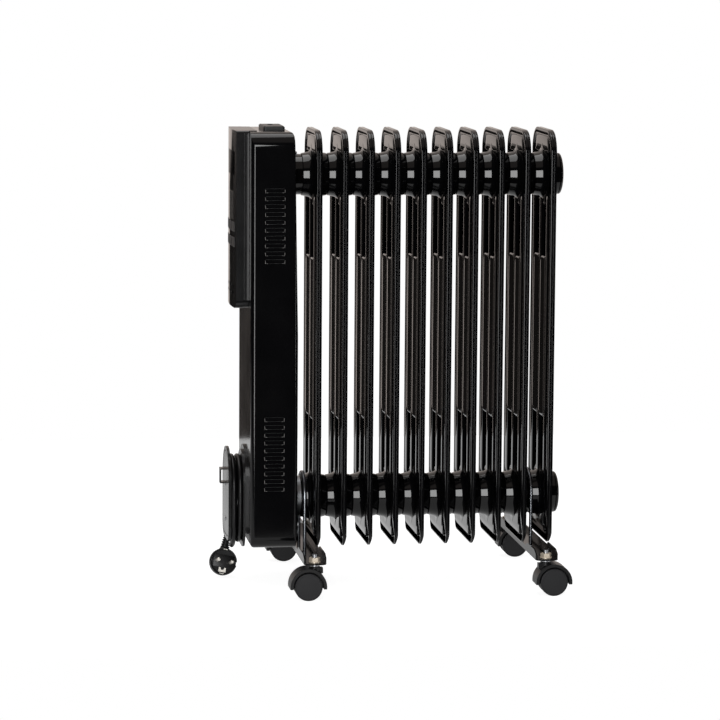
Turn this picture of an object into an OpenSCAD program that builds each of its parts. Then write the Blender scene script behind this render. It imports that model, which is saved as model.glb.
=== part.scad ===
// Oil filled radiator heater: ten pressed-steel fins on two oil headers, a control tower
// with a keypad panel and a cord winder at the front end, and two foot brackets on casters.
// X runs along the heater, from the control tower (-X) to the last fin (+X). Z is up.
// The origin is on the floor, below the centre of the heater.

/* [Radiator] */
// Distance from one fin to the next
fin_pitch = 36; // [35.5:0.25:36.5]
// Width of a fin
fin_w = 140; // [136:1:144]
// Top of the fins above the floor
fin_top = 630; // [620:1:640]
// Radius of the top corners of a fin
fin_corner = 33; // [26:1:34]
// Radius of the bottom corners of a fin
fin_foot_r = 14; // [12:1:16]
// Thickness of a fin's pressed sheet
fin_sheet = 2.4; // [2:0.1:3]
// Thickness of a fin's rolled border
border_t = 8.3; // [7.5:0.1:8.8]
// Width of a fin's rolled border
border_w = 9; // [7:0.5:10]
// Outer radius of the oil headers where two fins meet
header_r = 28.5; // [28:0.1:29]

/* [Tower] */
// Width of the control tower
tower_w = 160; // [154:1:164]
// Depth of the control tower, front to back
tower_d = 65; // [64:0.5:66]
// How far the tower's back leans away from the fins at the top
tower_lean = 5; // [3:0.5:5]
// Thickness of the tower's sheet
tower_wall = 1.4; // [1.2:0.1:1.6]
// Width of the control panel
panel_w = 108; // [106:1:110]
// Height of the control panel
panel_h = 243; // [241:1:245]
// Travel of the push buttons
button_travel = 1.2; // [0.8:0.1:1.4]

/* [Cord] */
// Diameter of the mains cord
cord_d = 7; // [6.8:0.1:7.2]
// Diameter of the plug's face
plug_d = 38; // [37:0.5:39]

/* [Casters] */
// Distance from the centre of the heater to a caster's stem, across the heater
stem_y = 145; // [142:1:147]
// Diameter of the caster wheels
wheel_d = 38; // [37.5:0.5:38.5]
// Distance from the stem's axis to the wheel's axle
caster_trail = 9.5; // [9:0.5:10]

/* [Hidden] */
$fn = 64;
fin_count = 10;
eps = 0.01;
fit_gap = 0.05;

// Heights above the floor
fin_low = 57;
header_top_z = 567;
header_low_z = 118;
tower_low = 57.5;
tower_top = 629;
panel_top = 630;
bracket_z = 49;
bracket_t = 2;

// Lengths along the heater, counted from the first fin
half_pitch = fin_pitch / 2;
cap_reach = 24.4;
clip_depth = 8.4;
winder_face = 121;
front_reach = winder_face + clip_depth;
rear_reach = (fin_count - 1) * fin_pitch + cap_reach;
x1 = (front_reach - rear_reach) / 2;
x10 = x1 + (fin_count - 1) * fin_pitch;
channels = 3;
element_half = 8;
function fin_x(n) = x1 + (n - 1) * fin_pitch;

// Tower
tower_back_x = x1 - 29.5;
tower_front_x = tower_back_x - tower_d;
tower_top_r = 20;
tower_low_r = 17;
tower_edge_r = 6;
tower_nose_r = 9;
tower_rear_r = 4.5;
lean_z = 350;
back_t = 1.4;
shell_back_x = tower_back_x - back_t;
function lean_at(z) = tower_lean * max(z - lean_z, 0) / (tower_top - lean_z);
screw_bite = 0.4;
terminal_gap = 13;
wire_ball = 0.3;
louvre_n = 10;
louvre_pitch = 10.7;
louvre_w = 26;
louvre_h = 5.4;
louvre_rise = 1.4;
louvre_lip = 2;
louvre_cheek = 1;
louvre_x = x1 - 62;
louvre_top_z = 454;
louvre_low_z = 141;
lug_w = 9;
lug_l = 14;
lug_z = [90, 600];
screw_r = 1.9;
screw_y = tower_w / 2 - 10;
window_z = 400;

// Panel
panel_bulge = 3;
panel_edge_x = x1 - 112.3;
panel_seam_x = x1 - 101.8;
panel_tool = 30;
panel_wall = 2.4;
panel_low_r = 12;
panel_top_r = 4;
panel_arc = (pow(panel_w / 2, 2) + pow(panel_bulge, 2)) / (2 * panel_bulge);
panel_low = panel_top - panel_h;
display = [84, 33];
display_z = 585;
touch = [62, 39];
touch_z = 526;
button = [24, 13];
button_cols = [31, 0, -31];
button_rows = [498, 477];
button_gap = 0.4;
button_proud = 0.5;
lens = [16, 8];
lens_z = 434;
vent = [22, 2.8];
vent_rows = [416.5, 407.5];
ledge = 3;
insert_t = 1.2;

// Winder, from the tower's face outwards
winder_w = 86;
plate_foot_r = 20;
winder_low = 61;
winder_top = 189.5;
flange_w = 84;
flange_low = 52;
flange_top = 185;
flange_t = 3;
plate_t = 4;
coil_z = 113;
coil_straight = 20;
coil_out_r = 46;
coil_in_r = 24.2;
hub_r = 23.5;
plate_x = x1 - winder_face;
plate_back_x = plate_x + plate_t;
flange_x = x1 - 100.5;
coil_gap = 0.2;
coil_x = plate_back_x + coil_gap;
coil_w = flange_x - plate_back_x - 2 * coil_gap;
clip = [16, 21];
clip_z = 148.8;
clip_wall = 1.8;

// Cord: the free stretch between the winding and the plug, from its top to its end
cord_points = [[-222.6, 42.3, 96], [-222.6, 42.3, 88], [-222.6, 41.8, 81], [-222.6, 40.9, 74],
               [-223.0, 39.5, 67], [-223.9, 37.7, 60]];
cord_sides = 12;
cord_r = cord_d / 2;
plug_tilt = 12;
plug_lean = 15;
relief_l = 22;
plug_drop = 41.7;
cord_end = cord_points[len(cord_points) - 1];
plug_up = [cos(plug_lean) * sin(plug_tilt), sin(plug_lean), cos(plug_lean) * cos(plug_tilt)];
earth = [10, 3.6, 10.5];
earth_in = 0.4;
earth_z = 4 - plug_d / 2;
plug_at = cord_end - plug_drop * plug_up;
plug_face_y = -14;
plug_back_y = 13;
pin_r = 2.4;
pin_root_r = 2;
pin_root_l = 8;
plug_r = plug_d / 2;
clip_strip = [6, 10, 1.2];
strip_in = 2.2;
guide_w = 5;
pin_l = 19;
pin_gap = 19;

// Feet and casters
bracket_w = 31;
bracket_half = 159;
bracket_front_x = x1 - 14;
bracket_rear_x = x10 - 19;
rail_t = 2;
rail_high = 62;
bracket_corner = 9;
bolt_wire_r = 2.5;
neck_swell = 2;
bolt_r = header_r + neck_swell + bolt_wire_r + fit_gap;
wheel_r = wheel_d / 2;
wheel_t = 8.5;
web_half = 6;
wheel_in = web_half + 0.4;
caster_half = wheel_in + wheel_t;
hood_r = 25;
hood_in = 21;
hood_top = 45.4;
stem_r = 3.95;
stem_low = 25;
stem_high = 62;
axle_r = 2;

// ---- shared shapes ----

// Extrudes an outline drawn in Y and Z along +X, from x
module along_x(x, length) {
    translate([x, 0, 0]) rotate([90, 0, 90]) linear_extrude(length) children();
}

// Round bar along +X
module bar_x(x, length, y, z, r) {
    translate([x, y, z]) rotate([0, 90, 0]) cylinder(h = length, r = r);
}

// Solid turned about an axis along X, with its profile's height along +X
module turned_x(x, z) {
    translate([x, 0, z]) rotate([0, 90, 0]) rotate_extrude($fn = 96) children();
}

// Outline of a slab that stands on z0, with its own top and bottom corner radii
module slab(w, z0, z1, r_top, r_low) {
    translate([-w / 2, z0 + r_low]) square([w, z1 - z0 - r_top - r_low]);
    translate([-w / 2 + r_top, z1 - r_top - eps]) square([w - 2 * r_top, r_top + eps]);
    translate([-w / 2 + r_low, z0]) square([w - 2 * r_low, r_low + eps]);
    for (s = [-1, 1]) {
        translate([s * (w / 2 - r_top), z1 - r_top]) circle(r_top);
        translate([s * (w / 2 - r_low), z0 + r_low]) circle(r_low);
    }
}

// Outline with two straight sides and round ends
module stadium(r, half, z) {
    translate([-r, z - half]) square([2 * r, 2 * half]);
    for (s = [-1, 1]) translate([0, z + s * half]) circle(r, $fn = 96);
}

// Box centred on Y
module plank(x0, x1, w, z0, z1) {
    translate([x0, -w / 2, z0]) cube([x1 - x0, w, z1 - z0]);
}

// ---- radiator ----

module fin_outline(inset) {
    slab(fin_w - 2 * inset, fin_low + inset, fin_top - inset, fin_corner - inset, fin_foot_r - inset);
}

// Rolled border, which thins out to a plain seam along the bottom
module fin_border(thick, inset) {
    half = thick / 2;
    seam = 1.25;
    fold_z = [fin_low + 13, fin_low + 42];
    crimp_z = [fin_low + 2, fin_low + 15];
    intersection() {
        along_x(-half, thick) difference() {
            fin_outline(inset);
            fin_outline(border_w);
        }
        translate([0, fin_w, 0]) rotate([90, 0, 0]) linear_extrude(2 * fin_w)
            polygon([[-half, fin_top], [-half, fold_z[1]], [-seam, fold_z[0]], [-seam, fin_low],
                 [seam, fin_low],
                [seam, crimp_z[0]], [half, crimp_z[1]], [half, fin_top]]);
    }
}

// Vertical oil channel, pressed out of both faces of the sheet
module fin_channel(y) {
    bulge_r = 12;
    bulge = 4.5;
    z0 = header_low_z + 32;
    z1 = header_top_z - 34;
    for (s = [-1, 1]) intersection() {
        translate([s * (bulge - bulge_r), y, 0]) {
            translate([0, 0, z0]) cylinder(h = z1 - z0, r = bulge_r);
            translate([0, 0, z0]) sphere(bulge_r);
            translate([0, 0, z1]) sphere(bulge_r);
        }
        translate([min(0, s * bulge), y - bulge_r, z0 - bulge_r])
            cube([bulge, 2 * bulge_r, z1 - z0 + 2 * bulge_r]);
    }
}

// One side of a fin's header boss: a shallow dish, a flare and the neck that meets the next fin
module boss_profile() {
    neck_r = header_r + neck_swell;
    seam_r = header_r + 0.4;
    seam = 0.6;
    flare = 7;
    dish_r = 44;
    dish_t = 3.2;
    polygon([[0, 0], [neck_r, 0], [neck_r, flare], [seam_r, half_pitch - seam], [seam_r - seam, half_pitch],
        [0, half_pitch]]);
    difference() {
        square([neck_r + flare, flare]);
        translate([neck_r + flare, flare]) circle(flare);
    }
    polygon([[0, 0], [dish_r, 0], [dish_r - dish_t, dish_t], [0, dish_t]]);
}

// Pressed V that stiffens the sheet between a header and the border
module fin_gusset(z, up) {
    rise = up * (up > 0 ? fin_top - header_top_z - border_w + 1 : header_low_z - fin_low - border_w + 1);
    half = 30;
    band = 7;
    thick = 3.2;
    notch = 0.8;
    along_x(-thick, 2 * thick) polygon([[-half, z], [-half + band, z], [0, z + notch * rise],
        [half - band, z], [half, z], [band / 2, z + rise], [-band / 2, z + rise]]);
}

module fin(n) {
    bore_r = 22;
    step = 1.4;
    color("#0c0c0e") translate([fin_x(n), 0, 0]) difference() {
        union() {
            along_x(-fin_sheet / 2, fin_sheet) fin_outline(0.5);
            fin_border(border_t, step);
            fin_border(border_t - 2 * step, 0);
            for (y = [-1 : 1]) fin_channel(y * fin_w / channels);
            for (z = [header_low_z, header_top_z], s = [0, 1]) mirror([s, 0, 0])
                turned_x(0, z) boss_profile();
            fin_gusset(header_top_z, 1);
            fin_gusset(header_low_z, -1);
        }
        for (z = [header_low_z, header_top_z]) bar_x(-fin_pitch, 2 * fin_pitch, 0, z, bore_r);
    }
}

// Domed discs that close both headers behind the last fin
module header_caps() {
    dome_r = 70;
    cap_t = cap_reach - half_pitch;
    color("#0c0c0e") for (z = [header_low_z, header_top_z]) intersection() {
        bar_x(x10 + half_pitch, cap_t, 0, z, header_r);
        translate([x10 + cap_reach - dome_r, 0, z]) sphere(dome_r, $fn = 160);
    }
}

collar_x = tower_back_x;
collar_l = x1 - half_pitch - collar_x;
collar_r = header_r - 0.5;

// Plug that closes the top header and carries the top of the tower
module header_plug() {
    neck_r = 10;
    head_r = 15;
    head_t = 8;
    low_lean = lean_at(header_top_z - collar_r);
    head_x = shell_back_x - lean_at(header_top_z + head_r) - head_t;
    color("#101012") {
        bar_x(collar_x - low_lean, collar_l + low_lean, 0, header_top_z, collar_r);
        bar_x(head_x, collar_x - head_x, 0, header_top_z, neck_r);
        bar_x(head_x, head_t, 0, header_top_z, head_r, $fn = 6);
    }
}

element_pipe_r = 4.2;
element_rows = [-8, 8];

// Screwed steel flange that closes the lower header and holds the heating element
module element_flange() {
    neck_r = 18;
    head_r = 21;
    head_t = 9;
    past = 20;
    color("#8d8f92") difference() {
        union() {
            bar_x(collar_x, collar_l, 0, header_low_z, collar_r);
            bar_x(shell_back_x - head_t, head_t + back_t + eps, 0, header_low_z, neck_r);
            bar_x(shell_back_x - head_t, head_t, 0, header_low_z, head_r, $fn = 6);
        }
        for (row = element_rows, s = [-1, 1])
            bar_x(collar_x - past, collar_l + 2 * past, s * element_half, header_low_z + row, element_pipe_r);
    }
}

// Two U-shaped sheathed elements in the lower header, with their terminal pins in the tower
module heating_element() {
    length = 8.6 * fin_pitch;
    start = collar_x - 14;
    pin = 2;
    pin_out = 12;
    color("#6f6a63") for (row = element_rows) {
        for (s = [-1, 1]) {
            bar_x(start, length, s * element_half, header_low_z + row, element_pipe_r);
            bar_x(start - pin_out, pin_out + eps, s * element_half, header_low_z + row, pin);
        }
        translate([start + length, 0, header_low_z + row]) rotate([0, 0, -90]) rotate_extrude(angle = 180)
            translate([element_half, 0]) circle(element_pipe_r);
    }
}

// ---- control tower ----

// Rounded corner of an outline, cut from the material around a circle
module corner_cut(centre, corner, r) {
    difference() {
        translate([min(centre[0], corner[0]), min(centre[1], corner[1])])
            square([abs(corner[0] - centre[0]), abs(corner[1] - centre[1])]);
        translate(centre) circle(r);
    }
}

// The tower from the side: rounded under the winder, its back leaning at the top
module tower_side(inset, x_back) {
    x0 = tower_front_x + inset;
    z0 = tower_low + inset;
    z1 = tower_top - inset;
    nose = tower_nose_r - inset;
    rear = tower_rear_r - inset;
    top_x = x_back - tower_lean;
    difference() {
        polygon([[x0, z0], [x_back, z0], [x_back, lean_z], [top_x, z1], [x0, z1]]);
        corner_cut([x0 + nose, z0 + nose], [x0 - 1, z0 - 1], nose);
        corner_cut([x_back - rear, z0 + rear], [x_back + 1, z0 - 1], rear);
        corner_cut([top_x - rear, z1 - rear], [top_x + 1, z1 + 1], rear);
    }
}

// The tower from above, with its front and rear edges rounded
module tower_plan(inset, x_back) {
    x0 = tower_front_x + inset;
    half = tower_w / 2 - inset;
    edge = tower_edge_r - inset;
    rear = tower_rear_r - inset;
    difference() {
        translate([x0, -half]) square([x_back - x0, 2 * half]);
        for (s = [-1, 1]) {
            corner_cut([x0 + edge, s * (half - edge)], [x0 - 1, s * (half + 1)], edge);
            corner_cut([x_back - rear, s * (half - rear)], [x_back + 1, s * (half + 1)], rear);
        }
    }
}

module tower_solid(inset, x_back) {
    intersection() {
        along_x(tower_front_x, tower_d) slab(tower_w - 2 * inset, tower_low + inset, tower_top - inset,
            tower_top_r - inset, tower_low_r - inset);
        linear_extrude(tower_top) tower_plan(inset, x_back);
        translate([0, tower_w, 0]) rotate([90, 0, 0]) linear_extrude(2 * tower_w) tower_side(inset, x_back);
    }
}

module louvre_slots(z0) {
    for (i = [0 : louvre_n - 1]) translate([louvre_x, 0, z0 + i * louvre_pitch - louvre_h / 2])
        translate([louvre_cheek - louvre_w / 2, -tower_w, 0])
            cube([louvre_w - 2 * louvre_cheek, 2 * tower_w, louvre_h - louvre_lip]);
}

// Pressed hoods over the slots of both side walls, open towards the floor
module louvre_hoods(z0) {
    wall_y = tower_w / 2 - eps;
    tip_y = tower_w / 2 + louvre_rise;
    skin = 0.8;
    high = louvre_h / 2;
    x0 = louvre_x - louvre_w / 2;
    for (i = [0 : louvre_n - 1], s = [0, 1]) mirror([0, s, 0]) translate([0, 0, z0 + i * louvre_pitch]) {
        along_x(x0, louvre_w)
            polygon([[wall_y, high], [tip_y, -high], [tip_y - skin, -high], [wall_y, high - louvre_lip]]);
        for (x = [x0, x0 + louvre_w - louvre_cheek]) along_x(x, louvre_cheek)
            polygon([[wall_y, high], [tip_y, -high], [wall_y, -high]]);
    }
}

module tower_shell() {
    frame = 16;
    lug_half = lug_w / 2;
    lug_fit = 0.4;
    panel_hole = 40;
    reach = 5;
    color("#08080a") {
        difference() {
            union() {
                difference() {
                    tower_solid(0, shell_back_x);
                    tower_solid(tower_wall, shell_back_x - tower_wall);
                }
                for (s = [-1, 1], z = lug_z)
                    translate([shell_back_x - lean_at(z) - lug_l, s * (tower_w - frame) / 2, z])
                        translate([0, -lug_half, -lug_half]) cube([lug_l - lug_fit, lug_w, lug_w]);
            }
            translate([shell_back_x - tower_d / 2, frame - tower_w / 2, tower_low + frame])
                cube([tower_d, tower_w - 2 * frame, tower_top - tower_low - 2 * frame]);
            louvre_slots(louvre_top_z);
            louvre_slots(louvre_low_z);
            for (s = [-1, 1], z = lug_z)
                bar_x(shell_back_x - lean_at(z) - lug_l - 1, lug_l + 3, s * screw_y, z, screw_r - screw_bite);
            plank(tower_front_x - 1, tower_front_x + reach, panel_hole, window_z, window_z + panel_hole);
        }
        louvre_hoods(louvre_top_z);
        louvre_hoods(louvre_low_z);
    }
}

// Sheet that closes the tower towards the fins
module tower_back() {
    inset = tower_rear_r + 0.3;
    x0 = shell_back_x;
    x_lean = x0 - tower_lean;
    plug_hole_r = 10;
    element_hole_r = 18;
    through = 40;
    color("#101012") difference() {
        intersection() {
            along_x(x_lean - 1, tower_lean + back_t + 2) slab(tower_w - 2 * inset, tower_low + inset,
                tower_top - inset, tower_top_r - inset, tower_low_r - inset);
            translate([0, tower_w, 0]) rotate([90, 0, 0]) linear_extrude(2 * tower_w)
                polygon([[x0, tower_low], [x0 + back_t, tower_low], [x0 + back_t, lean_z],
                    [x_lean + back_t, tower_top], [x_lean, tower_top], [x0, lean_z]]);
        }
        bar_x(x0 - through / 2, through, 0, header_top_z, plug_hole_r);
        bar_x(x0 - through / 2, through, 0, header_low_z, element_hole_r);
        for (s = [-1, 1], z = lug_z) bar_x(x0 - through / 2, through, s * screw_y, z, screw_r + 0.2);
    }
}

// Screws of the tower's back and of the winder, all alike
module case_screw() {
    head_r = 3.6;
    head_t = 2.2;
    head_edge = 0.8;
    shank = 12;
    cross = [4, 1, 2];
    difference() {
        union() {
            cylinder(h = head_t, r1 = head_r, r2 = head_r - head_edge);
            translate([0, 0, -shank]) cylinder(h = shank + eps, r = screw_r - screw_bite);
        }
        for (a = [0, 90]) rotate([0, 0, a]) translate([-cross[0] / 2, -cross[1] / 2, head_t - 1]) cube(cross);
    }
}

winder_screw_z = [88, 138];
screw_sink = 1.2;

module case_screws() {
    color("#b9b4a6") {
        for (s = [-1, 1], z = lug_z) translate([tower_back_x - lean_at(z), s * screw_y, z])
            rotate([0, 90, 0]) case_screw();
        for (z = winder_screw_z) translate([plate_x + screw_sink, 0, z]) rotate([0, -90, 0]) case_screw();
    }
}

// Low grip cap on top of the tower
module handle_cap() {
    size = [29.5, 64];
    rise = 5.8;
    r = 3;
    dish_r = 10;
    dish = 1.2;
    dish_end = 9;
    x0 = x1 - 73;
    module outline(inset) {
        translate([x0 + inset + r, -size[1] / 2 + inset])
            square([size[0] - 2 * (inset + r), size[1] - 2 * inset]);
        translate([x0 + inset, -size[1] / 2 + inset + r])
            square([size[0] - 2 * inset, size[1] - 2 * (inset + r)]);
        for (x = [x0 + inset + r, x0 + size[0] - inset - r], s = [-1, 1])
            translate([x, s * (size[1] / 2 - inset - r)]) circle(r);
    }
    color("#161618") difference() {
        translate([0, 0, tower_top]) {
            linear_extrude(rise - 1) outline(0);
            linear_extrude(rise) outline(1);
        }
        translate([x0 + size[0] / 2, -size[1] / 2 + dish_end, tower_top + rise + dish_r - dish])
            rotate([-90, 0, 0]) cylinder(h = size[1] - 2 * dish_end, r = dish_r);
    }
}

// Disc thermostat that opens if the tower gets too hot
module thermal_cutout() {
    z = lean_z - 30;
    y = 30;
    r = 9;
    t = 10;
    strap = [1, 34, 10];
    tab = [8, 6, 0.8];
    tab_y = 4;
    color("#d8d2c2") {
        bar_x(shell_back_x - t, t, y, z, r);
        translate([shell_back_x - strap[0], y - strap[1] / 2, z - strap[2] / 2]) cube(strap);
        for (s = [-1, 1])
            translate([shell_back_x - t - tab[0], y + s * tab_y - tab[1] / 2, z - tab[2] / 2])
                cube([tab[0] + eps, tab[1], tab[2]]);
    }
}

// Screw terminals where the mains cord meets the wiring
module terminal_block() {
    z = 215;
    size = [16, 44, 22];
    way = [12, 5, 2.6];
    screw = [6, 20, 2.2];
    color("#e9e7df") difference() {
        translate([shell_back_x - size[0], -size[1] / 2, z - size[2] / 2]) cube(size);
        for (i = [-1 : 1]) {
            bar_x(shell_back_x - size[0] - 1, way[0], i * terminal_gap, z - way[1], way[2]);
            translate([shell_back_x - size[0] + screw[0], i * terminal_gap, z])
                cylinder(h = screw[1], r = screw[2]);
        }
    }
}

// Tip-over switch: a sealed box with its ball seat
module tilt_switch() {
    z = 170;
    y = 40;
    size = [18, 16, 26];
    cap_h = 4;
    cap_r = 5;
    ear = [2, 26, 12];
    color("#2b2d33") {
        translate([shell_back_x - size[0], y - size[1] / 2, z - size[2] / 2]) cube(size);
        translate([shell_back_x - size[0] / 2, y, z + size[2] / 2 - eps]) cylinder(h = cap_h, r = cap_r);
        translate([shell_back_x - ear[0], y - ear[1] / 2, z - ear[2] / 2]) cube(ear);
    }
}

// Wire drawn through points, as round bars with a ball at each bend
module wire(points, r) {
    for (i = [0 : len(points) - 2]) {
        step = points[i + 1] - points[i];
        turn = atan2(step[1], step[0]);
        lean = acos(step[2] / norm(step));
        translate(points[i]) rotate([0, lean, turn]) cylinder(h = norm(step), r = r, $fn = 16);
    }
    for (i = [1 : len(points) - 2]) translate(points[i]) sphere(r + wire_ball, $fn = 16);
}

// Wires from the terminals up to the panel, and from the element's pins to the terminals
module wiring() {
    r = 1.6;
    side = 8;
    pin_x = collar_x - 26;
    low_x = pin_x - 14;
    mid_x = shell_back_x - 34;
    top_x = tower_front_x - 6.2;
    block_x = shell_back_x - 8;
    color("#b8452e") for (i = [-1 : 1])
        wire([[block_x, i * terminal_gap, 231], [block_x, i * terminal_gap, 245], [mid_x, i * side, 300],
            [mid_x, i * side, window_z + 8], [top_x, i * side, window_z + 20]], r);
    color("#3d5a9a") for (s = [-1, 1])
        wire([[pin_x, s * side, header_low_z + 8], [low_x, s * side, header_low_z + 16],
            [low_x, s * 10, 180], [shell_back_x - 20, s * terminal_gap, 210]], r);
}

// ---- control panel ----

// The panel's outer form, curved across its front
module panel_solid(inset, x_back) {
    x0 = panel_edge_x - panel_bulge + inset;
    arc = panel_arc - inset;
    intersection() {
        along_x(x0, x_back - x0) slab(panel_w - 2 * inset, panel_low + inset, panel_top - inset,
            max(panel_top_r - inset, 1), panel_low_r - inset);
        translate([x0 + arc, 0, 0]) cylinder(h = panel_top, r = arc, $fn = 720);
    }
}

// A layer of the panel's front wall, from depth a to depth b below its outer face
module panel_layer(a, b) {
    difference() {
        translate([a, 0, 0]) panel_solid(0, panel_seam_x - a);
        translate([b, 0, 0]) panel_solid(0, panel_seam_x - b);
    }
}

// Straight tool through the panel's front
module panel_slot(size, y, z, grow) {
    translate([panel_edge_x - 2 * panel_bulge, y - size[0] / 2 - grow, z - size[1] / 2 - grow])
        cube([panel_tool, size[0] + 2 * grow, size[1] + 2 * grow]);
}

module panel_pill(size, y, z, grow) {
    along_x(panel_edge_x - 2 * panel_bulge, panel_tool) translate([y, z]) {
        translate([-(size[0] - size[1]) / 2, -size[1] / 2 - grow])
            square([size[0] - size[1], size[1] + 2 * grow]);
        for (s = [-1, 1]) translate([s * (size[0] - size[1]) / 2, 0]) circle(size[1] / 2 + grow);
    }
}

module panel_housing() {
    clear = 0.1;
    lens_ledge = 1.5;
    vent_spread = 0.85;
    color("#1a1a1c") difference() {
        panel_solid(0, panel_seam_x);
        panel_solid(panel_wall, tower_front_x);
        intersection() {
            panel_layer(-1, insert_t);
            union() {
                panel_slot(display, 0, display_z, clear);
                panel_slot(touch, 0, touch_z, clear);
                panel_pill(lens, 0, lens_z, clear);
            }
        }
        panel_slot(display, 0, display_z, -ledge);
        panel_pill(lens, 0, lens_z, -lens_ledge);
        for (y = button_cols, z = button_rows) panel_slot(button, y, z, button_gap);
        for (y = button_cols, z = vent_rows) panel_pill([vent[0], vent[1]], y * vent_spread, z, 0);
    }
}

// Rear half of the panel, screwed to the tower, with a lip over the tower's top
module panel_back() {
    lip = 11;
    lip_in = 6;
    step = 0.5;
    wall = 3;
    floor_t = 2.2;
    hole = 40;
    depth = tower_front_x - panel_seam_x;
    color("#1c1c1f") {
        difference() {
            along_x(panel_seam_x, depth)
                slab(panel_w - 2 * step, panel_low + step, panel_top, panel_top_r, panel_low_r);
            along_x(panel_seam_x - 1, depth + 1 - floor_t)
                slab(panel_w - 2 * wall, panel_low + wall, panel_top - wall, panel_top_r, panel_low_r);
            plank(tower_front_x - 2 * floor_t, tower_front_x + 1, hole, window_z, window_z + hole);
        }
        plank(tower_front_x - eps, tower_front_x + lip, panel_w - 2 * lip_in, tower_top, panel_top);
    }
}

module display_window() {
    color("#050507") intersection() {
        panel_layer(0, insert_t);
        panel_slot(display, 0, display_z, 0);
    }
}

module touch_plate() {
    color("#2a2b2e") intersection() {
        panel_layer(0, insert_t);
        panel_slot(touch, 0, touch_z, 0);
    }
}

module infrared_lens() {
    color("#0b0508") intersection() {
        panel_layer(0, insert_t);
        panel_pill(lens, 0, lens_z, 0);
    }
}

board_x = panel_seam_x + 0.6;
button_flange_x = panel_edge_x - panel_bulge + panel_wall + 2.4;

// Push button with its retaining flange; the switch under it stands on the board
module panel_button(y, z) {
    lip = 1.6;
    flange = 1.4;
    color("#232326") {
        intersection() {
            translate([-button_proud, 0, 0]) panel_solid(0, button_flange_x + button_proud + eps);
            panel_slot(button, y, z, 0);
        }
        translate([button_flange_x, y - button[0] / 2 - lip, z - button[1] / 2 - lip])
            cube([flange, button[0] + 2 * lip, button[1] + 2 * lip]);
    }
}

// Circuit board with the display module, relays and one switch under each button
module control_board() {
    switch_x = button_flange_x + 1.4 + button_travel + 0.4;
    display_x = panel_edge_x - panel_bulge + panel_wall + 1.4;
    board_t = 1.6;
    margin = 12;
    low = panel_low + margin + 2;
    switch = 6;
    relay = [6, 18, 14];
    relay_y = 24;
    relay_z = low + 36;
    color("#1f5b39") plank(board_x, board_x + board_t, panel_w - margin - 2, low, panel_top - margin);
    color("#1b1c20") {
        plank(display_x, board_x + eps, display[0] - margin, display_z - margin, display_z + margin);
        for (y = button_cols, z = button_rows) translate([switch_x, y - switch / 2, z - switch / 2])
            cube([board_x - switch_x + eps, switch, switch]);
        for (s = [-1, 1]) translate([board_x - relay[0], s * relay_y - relay[1] / 2, relay_z])
            cube([relay[0] + eps, relay[1], relay[2]]);
    }
}

// ---- cord winder, cord and plug ----

// Upright plate with a round top
module arch(w, z0, z1, r_low) {
    blend = 10;
    slab(w, z0, z1 - w / 2 + blend, blend, r_low);
    translate([0, z1 - w / 2]) circle(w / 2, $fn = 96);
}

module winder_base() {
    foot_low = 70;
    foot_top = 192;
    foot_r = 12;
    hub_wall = 3;
    post_r = 5;
    post_hole = 16;
    color("#141416") difference() {
        union() {
            along_x(flange_x, flange_t) arch(flange_w, flange_low, flange_top, plate_foot_r);
            along_x(flange_x + flange_t - eps, tower_front_x - flange_x - flange_t + eps)
                arch(flange_w - 4, foot_low, foot_top, foot_r);
            along_x(plate_back_x, flange_x - plate_back_x + eps) difference() {
                stadium(hub_r, coil_straight, coil_z);
                stadium(hub_r - hub_wall, coil_straight, coil_z);
            }
            for (z = winder_screw_z) bar_x(plate_back_x, flange_x - plate_back_x + 1, 0, z, post_r);
        }
        for (z = winder_screw_z) bar_x(plate_x, post_hole, 0, z, screw_r - screw_bite);
        at_gland() cylinder(h = gland_l, r = gland_r + fit_gap, center = true);
    }
}

module winder_plate() {
    rim = 5;
    groove = rim + 1.5;
    groove_t = 0.8;
    sink = 2.2;
    head_hole_r = 4;
    color("#1a1a1c") {
        difference() {
            along_x(plate_x, plate_t) arch(winder_w, winder_low, winder_top, plate_foot_r);
            along_x(plate_x - 1, 1 + groove_t) difference() {
                arch(winder_w - 2 * rim, winder_low + rim, winder_top - rim, plate_foot_r - rim);
                arch(winder_w - 2 * groove, winder_low + groove, winder_top - groove, plate_foot_r - groove);
            }
            for (z = winder_screw_z) {
                bar_x(plate_x - 1, sink, 0, z, head_hole_r);
                bar_x(plate_x - 1, plate_t + 4, 0, z, screw_r + 0.2);
            }
        }
        difference() {
            plank(plate_x - clip_depth, plate_x + eps, clip[0], clip_z - clip[1] / 2, clip_z + clip[1] / 2);
            plank(plate_x - clip_depth + clip_wall, plate_x, clip[0] + 2, clip_z - clip[1] / 2 + clip_wall,
                clip_z + clip[1] / 2 - clip_wall);
        }
    }
}

gland_at = [x1 - 107.8, hub_r - 1.5, coil_z + 0.8];
gland_dip = 64;
gland_r = 5;
gland_l = 18;

// Puts children on the gland's axis, which slants down through the wall of the hub
module at_gland() {
    translate(gland_at) rotate([-90 - gland_dip, 0, 0]) children();
}

// Bush in the hub's wall, where the cord comes out of the tower into the winding
module cord_gland() {
    color("#111113") intersection() {
        at_gland() difference() {
            cylinder(h = gland_l, r = gland_r, center = true);
            cylinder(h = gland_l + 2, r = cord_r, center = true);
        }
        along_x(plate_back_x + coil_gap, flange_x - plate_back_x - 2 * coil_gap)
            stadium(coil_in_r - 0.1, coil_straight, coil_z);
    }
}

// Outer shape of the cord as it lies wound between the two flanges
module cord_coil() {
    color("#141416") along_x(coil_x, coil_w) difference() {
        stadium(coil_out_r, coil_straight, coil_z);
        stadium(coil_in_r, coil_straight, coil_z);
    }
}

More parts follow.
